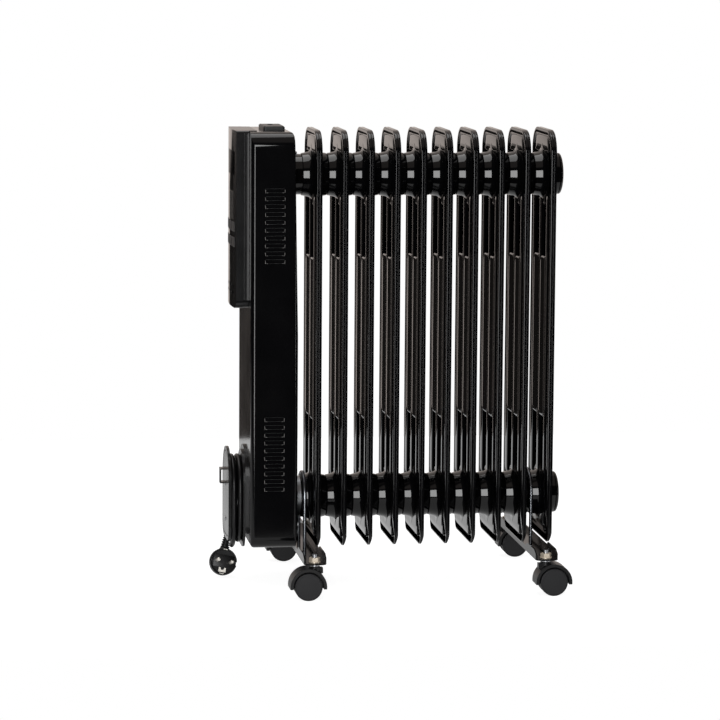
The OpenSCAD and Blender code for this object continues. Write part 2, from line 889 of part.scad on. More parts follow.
function cord_ring(i) =
    let (p = cord_points[i],
         a = cord_points[max(i - 1, 0)],
         b = cord_points[min(i + 1, len(cord_points) - 1)],
         t = (b - a) / norm(b - a),
         u = cross([0, 1, 0], t) / norm(cross([0, 1, 0], t)),
         v = cross(t, u))
    [for (k = [0 : cord_sides - 1])
        p + cord_r * (cos(360 * k / cord_sides) * u + sin(360 * k / cord_sides) * v)];

module cord_tail() {
    rings = len(cord_points);
    last = (rings - 1) * cord_sides;
    points = [for (i = [0 : rings - 1]) each cord_ring(i)];
    sides = [for (i = [0 : rings - 2], k = [0 : cord_sides - 1]) let (n = (k + 1) % cord_sides)
        [i * cord_sides + n, i * cord_sides + k, (i + 1) * cord_sides + k, (i + 1) * cord_sides + n]];
    ends = [[for (k = [0 : cord_sides - 1]) k], [for (k = [cord_sides - 1 : -1 : 0]) last + k]];
    color("#141416") polyhedron(points, concat(sides, ends));
}

// Puts children in the plug's own frame: face towards -Y and a little up, cord end on top
module at_plug() {
    translate(plug_at) rotate([-plug_lean, plug_tilt, 0]) children();
}

// Ribbed sleeve between the cord and the plug
module plug_relief() {
    ribs = 6;
    rib_t = 2;
    rib_rise = 0.8;
    first = 1.5;
    low_r = 6.6;
    high_r = 4.2;
    color("#141416") at_plug() translate([0, 0, plug_drop - relief_l]) {
        cylinder(h = relief_l, r1 = low_r - rib_rise, r2 = high_r - rib_rise);
        for (i = [0 : ribs - 1]) translate([0, 0, first + i * relief_l / ribs])
            cylinder(h = rib_t, r = low_r - i * (low_r - high_r) / ribs);
    }
}

module plug_body() {
    recess = 2;
    rim = 2.2;
    neck_r = 7;
    drum = 12;
    taper = 7;
    core = [30, 20, 10];
    guide_in = 1;
    guide = [4, 10, guide_w];
    color("#141416") at_plug() difference() {
        union() {
            translate([0, plug_face_y, 0]) rotate([-90, 0, 0]) cylinder(h = drum, r = plug_r);
            translate([0, plug_face_y + drum, 0]) rotate([-90, 0, 0])
                cylinder(h = plug_back_y - plug_face_y - drum, r1 = plug_r, r2 = plug_r - taper);
            cylinder(h = plug_drop - relief_l, r = neck_r);
        }
        translate([0, plug_face_y - 1, 0]) rotate([-90, 0, 0]) difference() {
            cylinder(h = 1 + recess, r = plug_r - rim);
            translate([-core[0] / 2, -core[1] / 2, 0]) cube(core);
        }
        for (s = [-1, 1]) translate([s * pin_gap / 2, plug_face_y - 1, 0]) rotate([-90, 0, 0])
            cylinder(h = 1 + pin_root_l, r = pin_root_r);
        translate([-earth[0] / 2, plug_face_y - 1, earth_z])
            cube([earth[0], 1 + earth_in + earth[1], earth[2]]);
        for (s = [-1, 1]) {
            translate([-clip_strip[0] / 2, plug_face_y - 1, s * (plug_r - strip_in / 2) - strip_in / 2])
                cube([clip_strip[0], clip_strip[1] + 1, strip_in]);
            translate([s * (plug_r - guide_in) - guide[0] / 2, plug_face_y - 1, -guide_w / 2]) cube(guide);
        }
    }
}

// Two contact pins, the earth plate and the two earth strips in the rim
module plug_contacts() {
    color("#c9cbd0") at_plug() {
        for (s = [-1, 1]) translate([s * pin_gap / 2, plug_face_y - pin_l, 0]) rotate([-90, 0, 0]) {
            cylinder(h = 1, r1 = pin_r - 1, r2 = pin_r);
            translate([0, 0, 1]) cylinder(h = pin_l - 1, r = pin_r);
            translate([0, 0, pin_l - 1]) cylinder(h = 1 + pin_root_l, r = pin_root_r);
        }
        difference() {
            translate([-earth[0] / 2, plug_face_y + earth_in, earth_z]) cube(earth);
            translate([0, plug_face_y - 1, earth_z + earth[2] / 2]) rotate([-90, 0, 0])
                cylinder(h = earth[1], r = pin_r);
        }
        strip_z = plug_r - strip_in + clip_strip[2] / 2;
        for (s = [-1, 1]) translate([-clip_strip[0] / 2, plug_face_y, s * strip_z - clip_strip[2] / 2])
            cube(clip_strip);
    }
}

// ---- feet and casters ----

// Pressed foot rail with two upturned edges; the fins stand on the edges
module foot_bracket(x) {
    rail_low = fin_low;
    end_h = 5;
    end_l = 20;
    seat = 78;
    seat_slope = 10;
    high_y = seat + seat_slope;
    hole_h = 5;
    side = [[-bracket_half, bracket_z], [bracket_half, bracket_z], [bracket_half, bracket_z + end_h],
        [bracket_half - end_l, rail_high], [high_y, rail_high], [seat, rail_low], [-seat, rail_low],
        [-high_y, rail_high], [-bracket_half + end_l, rail_high], [-bracket_half, bracket_z + end_h]];
    half = bracket_w / 2;
    color("#0d0d0f") translate([x, 0, 0]) difference() {
        intersection() {
            union() {
                translate([-half, -bracket_half, bracket_z]) cube([bracket_w, 2 * bracket_half, bracket_t]);
                for (edge = [-half, half - rail_t]) along_x(edge, rail_t) polygon(side);
            }
            translate([0, 0, bracket_z - 1]) linear_extrude(bracket_z) {
                translate([-half + bracket_corner, -bracket_half])
                    square([bracket_w - 2 * bracket_corner, 2 * bracket_half]);
                translate([-half, -bracket_half + bracket_corner])
                    square([bracket_w, 2 * (bracket_half - bracket_corner)]);
                for (a = [-1, 1], b = [-1, 1])
                    translate([a * (half - bracket_corner), b * (bracket_half - bracket_corner)])
                        circle(bracket_corner);
            }
        }
        for (s = [-1, 1]) {
            translate([0, s * stem_y, bracket_z - 1]) cylinder(h = hole_h, r = stem_r + 0.15);
            translate([0, s * bolt_r, bracket_z - 1]) cylinder(h = hole_h, r = bolt_wire_r + 0.3);
        }
    }
}

// Plated wire bows over the lower header, threaded into the foot rails
module u_bolts() {
    foot = 41;
    color("#d9dbde") for (x = [bracket_front_x, bracket_rear_x]) translate([x, 0, header_low_z]) {
        rotate([90, 0, 90]) rotate_extrude(angle = 180, $fn = 96) translate([bolt_r, 0]) circle(bolt_wire_r);
        for (s = [-1, 1]) translate([0, s * bolt_r, foot - header_low_z])
            cylinder(h = header_low_z - foot + eps, r = bolt_wire_r);
    }
}

// Hex nut on a round washer face; r is its radius over the corners
module hex_nut(r, h, bore, flange_r) {
    washer = 1.4;
    difference() {
        union() {
            cylinder(h = h, r = r, $fn = 6);
            cylinder(h = washer, r = flange_r);
        }
        translate([0, 0, -1]) cylinder(h = h + 2, r = bore);
    }
}

module u_bolt_nuts() {
    h = 5;
    r = 5.2;
    flange_r = 5.8;
    color("#c9c6bb") for (x = [bracket_front_x, bracket_rear_x], s = [-1, 1])
        translate([x, s * bolt_r, bracket_z]) mirror([0, 0, 1]) hex_nut(r, h, bolt_wire_r, flange_r);
}

function caster_x(i) = i < 3 ? bracket_front_x : bracket_rear_x;
function caster_y(i) = i % 2 == 1 ? -stem_y : stem_y;
function caster_dir(i) = i < 3 ? -1 : 1;
function wheel_x(i) = caster_x(i) + caster_dir(i) * caster_trail;

// Caster stems, screwed to the foot rails
module caster_stems() {
    collar_t = 3;
    collar_r = 6.2;
    color("#c4c6ca") for (i = [1 : 4]) translate([caster_x(i), caster_y(i), 0]) {
        translate([0, 0, stem_low]) cylinder(h = stem_high - stem_low, r = stem_r);
        translate([0, 0, bracket_z - collar_t]) cylinder(h = collar_t, r = collar_r);
    }
}

module stem_nuts() {
    r = 7.5;
    h = 6.5;
    flange_r = 8.2;
    color("#c8a655") for (i = [1 : 4]) translate([caster_x(i), caster_y(i), bracket_z + bracket_t])
        hex_nut(r, h, stem_r, flange_r);
}

// Caster hood: a curved cover over both wheels and the web that holds stem and axle
module hood(i) {
    cut = 3;
    boss = 7;
    skirt = 0.5;
    tool = 40;
    neck_r = 7.6;
    neck_z = 12;
    block = [10, 10, 7.5];
    block_x = 6;
    block_drop = 9;
    color("#1b1b1d") difference() {
        translate([wheel_x(i), caster_y(i), wheel_r]) rotate([-90, 0, 0]) {
            difference() {
                union() {
                    difference() {
                        translate([0, 0, -caster_half - skirt])
                            cylinder(h = 2 * (caster_half + skirt), r = hood_r, $fn = 96);
                        translate([0, 0, -caster_half - 1])
                            cylinder(h = 2 * (caster_half + 1), r = hood_in, $fn = 96);
                    }
                    translate([0, 0, -web_half]) cylinder(h = 2 * web_half, r = hood_in + 1);
                }
                translate([-tool, cut, -tool]) cube([2 * tool, tool, 2 * tool]);
            }
            translate([0, 0, -web_half]) cylinder(h = 2 * web_half, r = boss);
        }
        translate([caster_x(i), caster_y(i), stem_low - fit_gap]) cylinder(h = tool, r = stem_r + fit_gap);
        translate([wheel_x(i), caster_y(i) - tool / 2, wheel_r]) rotate([-90, 0, 0])
            cylinder(h = tool, r = axle_r + fit_gap);
    }
    color("#1b1b1d") difference() {
        union() {
            translate([caster_x(i), caster_y(i), stem_low + neck_z])
                cylinder(h = hood_top - stem_low - neck_z, r = neck_r);
            translate([caster_x(i) - caster_dir(i) * block_x, caster_y(i), hood_top - block_drop])
                translate([-block[0] / 2, -block[1] / 2, 0]) cube(block);
        }
        translate([caster_x(i), caster_y(i), stem_low]) cylinder(h = tool, r = stem_r + fit_gap);
        translate([wheel_x(i), caster_y(i) - tool / 2, wheel_r]) rotate([-90, 0, 0])
            cylinder(h = tool, r = hood_in, $fn = 96);
    }
}

module axle(i) {
    half = caster_half - 2;
    color("#b0b2b6") translate([wheel_x(i), caster_y(i) - half, wheel_r]) rotate([-90, 0, 0])
        cylinder(h = 2 * half, r = axle_r);
}

// The two wheels of one caster, pressed on the ends of the axle
module wheels(i) {
    edge = 1.2;
    rim = 3;
    dish = 0.8;
    slope = 0.4;
    color("#3a3b3d") for (s = [0, 1]) translate([wheel_x(i), caster_y(i), wheel_r]) rotate([90, 0, 0])
        mirror([0, 0, s]) difference() {
            rotate_extrude($fn = 96) polygon([[0, wheel_in], [wheel_r - edge, wheel_in],
                [wheel_r, wheel_in + edge],
                [wheel_r, caster_half - edge], [wheel_r - edge, caster_half], [wheel_r - rim, caster_half],
                [wheel_r - rim - slope, caster_half - dish], [0, caster_half - dish]]);
            translate([0, 0, wheel_in - 1]) cylinder(h = caster_half - 1 - wheel_in, r = axle_r);
        }
}

// ---- nodes ----

fin(1);  // fin_01
fin(2);  // fin_02
fin(3);  // fin_03
fin(4);  // fin_04
fin(5);  // fin_05
fin(6);  // fin_06
fin(7);  // fin_07
fin(8);  // fin_08
fin(9);  // fin_09
fin(10);  // fin_10
header_caps();
header_plug();
element_flange();
heating_element();
thermal_cutout();
terminal_block();
tilt_switch();
wiring();
tower_shell();
tower_back();
case_screws();
handle_cap();
panel_housing();
panel_back();
display_window();
touch_plate();
control_board();
infrared_lens();
panel_button(button_cols[0], button_rows[0]);  // button_1
panel_button(button_cols[1], button_rows[0]);  // button_2
panel_button(button_cols[2], button_rows[0]);  // button_3
panel_button(button_cols[0], button_rows[1]);  // button_4
panel_button(button_cols[1], button_rows[1]);  // button_5
panel_button(button_cols[2], button_rows[1]);  // button_6
winder_base();
winder_plate();
cord_gland();
cord_coil();
cord_tail();
plug_relief();
plug_body();
plug_contacts();
foot_bracket(bracket_front_x);  // bracket_front
foot_bracket(bracket_rear_x);  // bracket_rear
u_bolts();
u_bolt_nuts();
caster_stems();
stem_nuts();
hood(1);  // hood_1
axle(1);  // axle_1
wheels(1);  // wheels_1
hood(2);  // hood_2
axle(2);  // axle_2
wheels(2);  // wheels_2
hood(3);  // hood_3
axle(3);  // axle_3
wheels(3);  // wheels_3
hood(4);  // hood_4
axle(4);  // axle_4
wheels(4);  // wheels_4
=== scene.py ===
"""Visual model of an oil filled radiator heater: ten pressed fins on two headers, a control
tower with a keypad panel, a cord winder, and two foot rails on twin-wheel casters.

Lengths in the classes are in millimetres; the function mm() turns them to metres.
"""
import logging
import math
from dataclasses import dataclass
from enum import Enum
from typing import Callable, Optional, Sequence

import bmesh
import bpy
from mathutils import Matrix, Vector


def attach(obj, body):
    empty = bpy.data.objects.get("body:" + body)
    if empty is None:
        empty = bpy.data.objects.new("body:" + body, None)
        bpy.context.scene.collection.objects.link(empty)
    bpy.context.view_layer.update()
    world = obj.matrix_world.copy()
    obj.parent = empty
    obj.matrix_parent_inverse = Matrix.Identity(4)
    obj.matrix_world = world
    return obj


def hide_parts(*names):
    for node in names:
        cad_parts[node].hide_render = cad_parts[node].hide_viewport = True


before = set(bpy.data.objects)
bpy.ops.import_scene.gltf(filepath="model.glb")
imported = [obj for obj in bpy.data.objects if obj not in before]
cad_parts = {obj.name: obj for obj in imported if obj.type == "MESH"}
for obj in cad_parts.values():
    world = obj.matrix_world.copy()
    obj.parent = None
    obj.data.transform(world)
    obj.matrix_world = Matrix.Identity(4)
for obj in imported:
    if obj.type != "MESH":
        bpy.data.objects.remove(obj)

log = logging.getLogger("heater")

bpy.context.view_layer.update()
Point = tuple[float, float, float]
Pick = Callable[[Vector], bool]
Steps = Sequence[tuple[float, float]]
Solid = bpy.types.Object
Tree = bpy.types.NodeTree
Socket = bpy.types.NodeSocket

# The row of fins: the first one's place, the distance between two, how many, the last one's place
X1 = -109.5
PITCH = 36.0
FINS = 10
X10 = X1 + (FINS - 1) * PITCH

# Vertices nearer than this are merged, in metres; CAD meshes are finer
MERGE = 0.00001
CAD_MERGE = 0.000005
# Angles in degrees: CAD facets that turn less are one face, edges sharper are rounded, or stay sharp
FLAT, ROUNDED, SHARP = 0.6, 30.0, 38.0
# How near a vertex is to a level that it belongs to, before and after a move, in metres
ON_LEVEL, NEAR_LEVEL = 1e-7, 2e-6


def mm(value: float) -> float:
    """Millimetres in metres."""
    return value / 1000.0


def at(*values: float) -> Vector:
    """A point given in millimetres, as a vector in metres."""
    return Vector([mm(v) for v in values])


# ---------------------------------------------------------------- modelling helpers


def clear_selection() -> None:
    """Leaves edit mode and deselects every object."""
    if bpy.context.object and bpy.context.object.mode != "OBJECT":
        bpy.ops.object.mode_set(mode="OBJECT")
    bpy.ops.object.select_all(action="DESELECT")


def activate(piece: Solid) -> None:
    """Makes a piece the only selected and active object.

    Args:
        piece: the object.
    """
    clear_selection()
    piece.select_set(True)
    bpy.context.view_layer.objects.active = piece


def active() -> Solid:
    """The active object."""
    return bpy.context.view_layer.objects.active


def apply_place(piece: Solid) -> None:
    """Moves a piece's place into its mesh."""
    activate(piece)
    bpy.ops.object.transform_apply(location=True, rotation=True, scale=True)


def select_all() -> None:
    """Selects the whole mesh in edit mode."""
    bpy.ops.mesh.select_all(action="SELECT")


def edit(piece: Solid) -> None:
    """Opens a piece in edit mode, with all its vertices selected.

    Args:
        piece: the object.
    """
    activate(piece)
    bpy.ops.object.mode_set(mode="EDIT")
    bpy.ops.mesh.select_mode(type="VERT")
    select_all()


def done() -> None:
    """Leaves edit mode."""
    bpy.ops.object.mode_set(mode="OBJECT")


def extrude(*shift: float) -> None:
    """Extrudes the selection in edit mode by a shift in metres."""
    bpy.ops.mesh.extrude_region_move(TRANSFORM_OT_translate={"value": shift})


def resize(scale: Sequence[float], centre: Sequence[float] = (0, 0, 0)) -> None:
    """Scales the selection in edit mode about a centre in metres."""
    bpy.ops.transform.resize(value=scale, center_override=centre)


def pick_verts(piece: Solid, wanted: Pick) -> None:
    """Selects vertices by place, in edit mode.

    Args:
        piece: the object in edit mode.
        wanted: says if a vertex position, in metres, is wanted.
    """
    mesh = bmesh.from_edit_mesh(piece.data)
    for vert in mesh.verts:
        vert.select = wanted(vert.co)
    mesh.select_flush_mode()
    bmesh.update_edit_mesh(piece.data)


def named(piece: Solid, name: str) -> Solid:
    """Names a piece and its mesh, and returns the piece.

    Args:
        piece: the object.
        name: its new name.

    Returns:
        The same object.
    """
    piece.name = name
    piece.data.name = name
    return piece


def settle(piece: Solid, name: str, angle: float) -> Solid:
    """Applies a piece's place, merges doubles, turns its faces outwards and smooths it.

    Args:
        piece: the object to finish.
        name: its name.
        angle: edges sharper than this stay sharp, in degrees.

    Returns:
        The same object, at the origin, with its place in its mesh.
    """
    apply_place(piece)
    edit(piece)
    bpy.ops.mesh.remove_doubles(threshold=MERGE)
    bpy.ops.mesh.normals_make_consistent(inside=False)
    done()
    bpy.ops.object.shade_smooth_by_angle(angle=math.radians(angle))
    return named(piece, name)


def join(pieces: Sequence[Solid]) -> Solid:
    """Joins pieces into the first one and returns it.

    Args:
        pieces: the objects, of which the first one keeps its name.

    Returns:
        The joined object.
    """
    clear_selection()
    for piece in pieces:
        piece.select_set(True)
    bpy.context.view_layer.objects.active = pieces[0]
    if len(pieces) > 1:
        bpy.ops.object.join()
    return active()


def copy_of(piece: Solid, name: str, shift: Vector) -> Solid:
    """Copies a piece with a mesh of its own.

    Args:
        piece: the object to copy.
        name: the copy's name.
        shift: how far the copy moves, in metres.

    Returns:
        The copy, at the origin.
    """
    activate(piece)
    bpy.ops.object.duplicate(linked=False)
    twin = active()
    edit(twin)
    bpy.ops.transform.translate(value=shift)
    done()
    return named(twin, name)


def put_modifier(piece: Solid, kind: str, **settings: object) -> None:
    """Adds a modifier with its settings and applies it.

    Args:
        piece: the object.
        kind: the modifier's type.
        settings: attributes of the modifier.
    """
    activate(piece)
    modifier = piece.modifiers.new(kind.lower(), kind)
    for key, value in settings.items():
        setattr(modifier, key, value)
    bpy.ops.object.modifier_apply(modifier=modifier.name)


def soften(node: str, name: str, width: float, segments: int) -> Solid:
    """Copies a CAD node and rounds its hard edges.

    Args:
        node: the CAD node's name.
        name: the new piece's name.
        width: the rounding's width in millimetres.
        segments: faces across the rounding.

    Returns:
        The rounded copy, at the origin.
    """
    activate(bpy.data.objects[node])
    bpy.ops.object.duplicate(linked=False)
    piece = active()
    piece.parent = None
    piece.matrix_world = Matrix.Identity(4)
    for key in list(piece.keys()):
        del piece[key]
    named(piece, name)
    edit(piece)
    bpy.ops.mesh.remove_doubles(threshold=CAD_MERGE)
    bpy.ops.mesh.dissolve_limited(angle_limit=math.radians(FLAT))
    done()
    put_modifier(piece, "BEVEL", width=mm(width), segments=segments, limit_method="ANGLE",
                 angle_limit=math.radians(ROUNDED), harden_normals=False, use_clamp_overlap=True)
    bpy.ops.object.shade_smooth_by_angle(angle=math.radians(SHARP))
    put_modifier(piece, "WEIGHTED_NORMAL", mode="FACE_AREA", weight=100, keep_sharp=True)
    return piece


@dataclass
class PressedForm:
    """An outline with round corners that is raised along X step by step, like pressed sheet.

    Args:
        width: outer width along Y.
        low: lowest z of the outline.
        high: highest z of the outline.
        r_low: radius of the bottom corners.
        r_high: radius of the top corners.
        y: centre of the outline along Y.
        segments: edges on each quarter circle.
    """

    width: float
    low: float
    high: float
    r_low: float
    r_high: float
    y: float = 0.0
    segments: int = 8

    def corner(self, sy: int, sz: int, depth: float) -> tuple[float, float, float]:
        """Centre (y, z) and radius of one corner at a depth inside the outline.

        Args:
            sy: -1 or 1, the side along Y.
            sz: -1 for the bottom, 1 for the top.
            depth: how far inside the outline.

        Returns:
            The centre's y and z, and the radius.
        """
        full = self.r_high if sz > 0 else self.r_low
        radius = max(full - depth, 0.6)
        yc = self.y + sy * (self.width / 2 - depth - radius)
        zc = (self.high - depth - radius) if sz > 0 else (self.low + depth + radius)
        return yc, zc, radius

    def build(self, steps: Steps, closed_base: bool) -> Solid:
        """Raises the form.

        Args:
            steps: pairs of depth inside the outline and height along X, from the base up.
            closed_base: gives the base a face.

        Returns:
            The object, not yet settled.
        """
        clear_selection()
        bpy.ops.mesh.primitive_circle_add(vertices=4 * self.segments, radius=mm(1), location=(0, 0, 0),
                                          fill_type="NGON" if closed_base else "NOTHING",
                                          rotation=(0, math.pi / 2, 0))
        piece = active()
        apply_place(piece)
        edit(piece)
        bpy.ops.transform.rotate(value=math.pi / (4 * self.segments), orient_axis="X",
                                 center_override=(0, 0, 0))
        quarters = [(sy, sz) for sy in (-1, 1) for sz in (-1, 1)]
        depth, height = steps[0]
        for sy, sz in quarters:
            yc, zc, radius = self.corner(sy, sz, depth)
            pick_verts(piece, lambda p: p.y * sy > 0 and p.z * sz > 0 and p.length < mm(1.05))
            resize((1, radius, radius))
            # the quarter leaves the start circle at once, so that the next pick misses it
            bpy.ops.transform.translate(value=(1.0, mm(yc), mm(zc)))
        select_all()
        bpy.ops.transform.translate(value=(-1.0 + mm(height), 0, 0))
        mid_y = mm(self.y)
        mid_z = mm((self.low + self.high) / 2)
        for next_depth, next_height in steps[1:]:
            pick_verts(piece, lambda p: abs(p.x - mm(height)) < ON_LEVEL)
            if closed_base:
                bpy.ops.mesh.select_mode(type="FACE")
            extrude(mm(next_height - height) or 1e-6, 0, 0)
            bpy.ops.mesh.select_mode(type="VERT")
            for sy, sz in quarters:
                old = self.corner(sy, sz, depth)
                new = self.corner(sy, sz, next_depth)
                pick_verts(piece, lambda p: (abs(p.x - mm(next_height)) < NEAR_LEVEL
                                             and (p.y - mid_y) * sy > 0 and (p.z - mid_z) * sz > 0))
                scale = new[2] / old[2]
                resize((1, scale, scale), (mm(next_height), mm(old[0]), mm(old[1])))
                bpy.ops.transform.translate(value=(0, mm(new[0] - old[0]), mm(new[1] - old[1])))
            depth, height = next_depth, next_height
        if not closed_base:
            pick_verts(piece, lambda p: abs(p.x - mm(height)) < NEAR_LEVEL)
            bpy.ops.mesh.edge_face_add()
        done()
        return piece


def turned(steps: Steps, centre: Vector, axis: Vector, segments: int) -> Solid:
    """Turns a profile about an axis.

    Args:
        steps: pairs of radius and height along the axis, in millimetres, in order.
        centre: where the axis starts, in metres.
        axis: direction of the axis.
        segments: faces round the axis.

    Returns:
        The turned object, with its place in its mesh.
    """
    clear_selection()
    radius, height = steps[0]
    bpy.ops.mesh.primitive_circle_add(vertices=segments, radius=mm(radius), fill_type="NGON",
                                      location=(0, 0, mm(height)))
    piece = active()
    edit(piece)
    for next_radius, next_height in steps[1:]:
        extrude(0, 0, mm(next_height - height))
        scale = next_radius / radius
        resize((scale, scale, 1), (0, 0, mm(next_height)))
        radius, height = next_radius, next_height
    select_all()
    bpy.ops.mesh.normals_make_consistent(inside=False)
    done()
    turn = Vector((0, 0, 1)).rotation_difference(axis.normalized()).to_matrix().to_4x4()
    piece.matrix_world = Matrix.Translation(centre) @ turn @ piece.matrix_world
    apply_place(piece)
    return piece


def block(low: Vector, high: Vector, bevel: float = 0.0) -> Solid:
    """A cuboid between two corners, with its edges bevelled.

    Args:
        low: lowest corner, in metres.
        high: highest corner, in metres.
        bevel: width of the bevel in millimetres.

    Returns:
        The object, with its place in its mesh.
    """
    clear_selection()
    bpy.ops.mesh.primitive_cube_add(size=1, location=(low + high) / 2)
    piece = active()
    edit(piece)
    resize(high - low, (low + high) / 2)
    if bevel:
        bpy.ops.mesh.bevel(offset=mm(bevel), segments=2, affect="EDGES")
    done()
    apply_place(piece)
    return piece


# ---------------------------------------------------------------- finishes


def hex_colour(code: str) -> tuple[float, float, float, float]:
    """Turns an sRGB hex value such as 1a2b3c into linear colour.

    Args:
        code: six hex digits.

    Returns:
        Red, green, blue and 1.
    """
    parts = [int(code[i:i + 2], 16) / 255 for i in (0, 2, 4)]
    line = [p / 12.92 if p <= 0.04045 else ((p + 0.055) / 1.055) ** 2.4 for p in parts]
    return (line[0], line[1], line[2], 1.0)


def blank_tree(owner: bpy.types.ID) -> Tree:
    """Turns on the nodes of a material or a world, empties them and returns their tree.

    Args:
        owner: the material or world.

    Returns:
        Its node tree, without nodes.
    """
    owner.use_nodes = True
    owner.node_tree.nodes.clear()
    return owner.node_tree


def add(tree: Tree, kind: str, inputs: Optional[dict] = None, **settings: object) -> bpy.types.Node:
    """Adds a node with its settings and inputs.

    Args:
        tree: the node tree.
        kind: the node's type name.
        inputs: input name or index to a constant, or to the output socket that feeds it.
        settings: attributes of the node.

    Returns:
        The new node.
    """
    node = tree.nodes.new(kind)
    for key, value in settings.items():
        setattr(node, key, value)
    for key, value in (inputs or {}).items():
        if isinstance(value, Socket):
            tree.links.new(value, node.inputs[key])
        else:
            node.inputs[key].default_value = value
    return node


def maths(tree: Tree, operation: str, *inputs: object) -> Socket:
    """Adds a Math node with its inputs in order and returns its output."""
    return add(tree, "ShaderNodeMath", dict(enumerate(inputs)), operation=operation).outputs[0]


class Surface(Enum):
    """How a surface's fine relief was made."""

    SPRAYED = "sprayed"
    MOULDED = "moulded"
    GRAINED = "grained"
    DRAWN = "drawn"
    PLATED = "plated"


@dataclass(frozen=True)
class Finish:
    """One finish of the heater.

    Args:
        name: the real material and how it was made.
        colour: sRGB hex of the clean surface.
        shade: sRGB hex that the colour drifts to.
        rough: lowest roughness.
        rough_drift: how much roughness varies over the surface.
        relief: kind of fine relief.
        grain: size of the relief in millimetres.
        depth: depth of the relief in millimetres.
        metal: 1 for bare metal.
        ior: index of refraction.
        drift: size of the colour's patches in millimetres.
        specular: strength of the reflection, 0.5 for the plain material.
    """

    name: str
    colour: str
    shade: str
    rough: float
    rough_drift: float
    relief: Surface
    grain: float
    depth: float
    metal: float = 0.0
    ior: float = 1.5
    drift: float = 60.0
    specular: float = 0.5

    def material(self) -> bpy.types.Material:
        """Builds the node material once and returns it.

        Returns:
            The material.
        """
        found = bpy.data.materials.get(self.name)
        if found:
            return found
        made = bpy.data.materials.new(self.name)
        made.diffuse_color = hex_colour(self.colour)
        tree = blank_tree(made)
        place = add(tree, "ShaderNodeTexCoord").outputs["Object"]
        patches = add(tree, "ShaderNodeTexNoise", {"Scale": 1000 / self.drift, "Detail": 4.0,
                                                   "Roughness": 0.6, "Vector": place}).outputs["Fac"]
        tint = add(tree, "ShaderNodeMix", {6: hex_colour(self.colour), 7: hex_colour(self.shade),
                                           0: patches}, data_type="RGBA")
        rough = add(tree, "ShaderNodeMapRange", {"From Min": 0.3, "From Max": 0.7, "To Min": self.rough,
                                                 "To Max": self.rough + self.rough_drift,
                                                 "Value": patches})
        bump = add(tree, "ShaderNodeBump", {"Strength": 1.0, "Distance": mm(self.depth),
                                            "Height": self.height(tree, place)})
        shader = add(tree, "ShaderNodeBsdfPrincipled", {
            "Metallic": self.metal, "IOR": self.ior, "Specular IOR Level": self.specular,
            "Base Color": tint.outputs[2], "Roughness": rough.outputs["Result"],
            "Normal": bump.outputs["Normal"]})
        add(tree, "ShaderNodeOutputMaterial", {"Surface": shader.outputs["BSDF"]})
        return made

    def height(self, tree: Tree, place: Socket) -> Socket:
        """Returns the socket of the fine relief.

        Args:
            tree: the material's node tree.
            place: the place that the relief is read at.

        Returns:
            The socket that gives the relief's height.
        """
        scale = 1000 / self.grain
        if self.relief is Surface.DRAWN:
            place = add(tree, "ShaderNodeMapping", {"Scale": (0.08, 1.0, 1.0), "Vector": place}).outputs[0]
            inputs = {"Scale": scale, "Detail": 3.0, "Vector": place}
            return add(tree, "ShaderNodeTexNoise", inputs).outputs["Fac"]
        if self.relief is Surface.GRAINED:
            inputs = {"Scale": scale, "Vector": place}
            return add(tree, "ShaderNodeTexVoronoi", inputs, feature="SMOOTH_F1").outputs["Distance"]
        detail = {Surface.SPRAYED: 1.0, Surface.MOULDED: 5.0, Surface.PLATED: 2.0}[self.relief]
        inputs = {"Scale": scale, "Detail": detail, "Roughness": 0.5, "Vector": place}
        return add(tree, "ShaderNodeTexNoise", inputs).outputs["Fac"]

    def on(self, piece: Solid) -> None:
        """Puts the finish on every slot of a piece.

        Args:
            piece: the object.
        """
        if not piece.data.materials:
            piece.data.materials.append(self.material())
        for slot in piece.material_slots:
            slot.link = "DATA"
            slot.material = self.material()


# Gloss black powder coat on steel: near-black, sharp reflections, a faint orange peel
FIN_COAT = Finish("powder coat gloss black", "050506", "070708", 0.05, 0.02,
                  Surface.SPRAYED, 4.0, 0.002, specular=0.36)
# The tower's sheet has the same coat, a little duller
TOWER_COAT = Finish("powder coat gloss black smooth", "050506", "070708", 0.09, 0.04,
                    Surface.SPRAYED, 5.0, 0.003, specular=0.3)
# Coat on the louvres' pressed edges, duller where it runs thin, and a shade lighter than the coat as a faint
# painted highlight along each lip and fold
LOUVRE_LIP_SHEEN = Finish("powder coat with painted lip sheen", "0c0c0d", "131314", 0.30, 0.10,
                   Surface.SPRAYED, 1.0, 0.002, specular=0.3)
# Grey on the hoods' sheared ends: a painted highlight where each end catches the light
LOUVRE_END_HIGHLIGHT = Finish("powder coat grey as painted end highlight", "6a6866", "4c4a49", 0.32, 0.10,
                      Surface.SPRAYED, 1.0, 0.002)
# Dipped enamel on the stamped foot rails, a little uneven
RAIL_COAT = Finish("dip enamel black", "050505", "09090a", 0.10, 0.06, Surface.SPRAYED, 3.0, 0.006, ior=1.18)
# Moulded ABS with a fine spark-eroded grain: satin, dark grey-black
PANEL_ABS = Finish("ABS satin black moulded", "0c0c0d", "101011", 0.17, 0.05,
                   Surface.GRAINED, 0.9, 0.003, specular=0.35)
# The panel's face is polished in the mould, its sides are left with the grain
FACE_ABS = Finish("ABS polished face", "0d0d0e", "101011", 0.045, 0.02, Surface.MOULDED, 20.0, 0.001)
# Polypropylene of the winder, smooth from the mould
WINDER_PP = Finish("polypropylene black moulded", "0a0a0b", "0e0e0f", 0.20, 0.06,
                   Surface.MOULDED, 1.6, 0.003, specular=0.35)
# Coarser grain on the grip cap
CAP_ABS = Finish("ABS black moulded grip", "121213", "18181a", 0.34, 0.10, Surface.GRAINED, 1.1, 0.01)
# Smoked acrylic over the display, nearly without reflections
DISPLAY_PMMA = Finish("acrylic smoked anti-glare", "020203", "040405", 0.10, 0.03,
                      Surface.PLATED, 30.0, 0.001, ior=1.03)
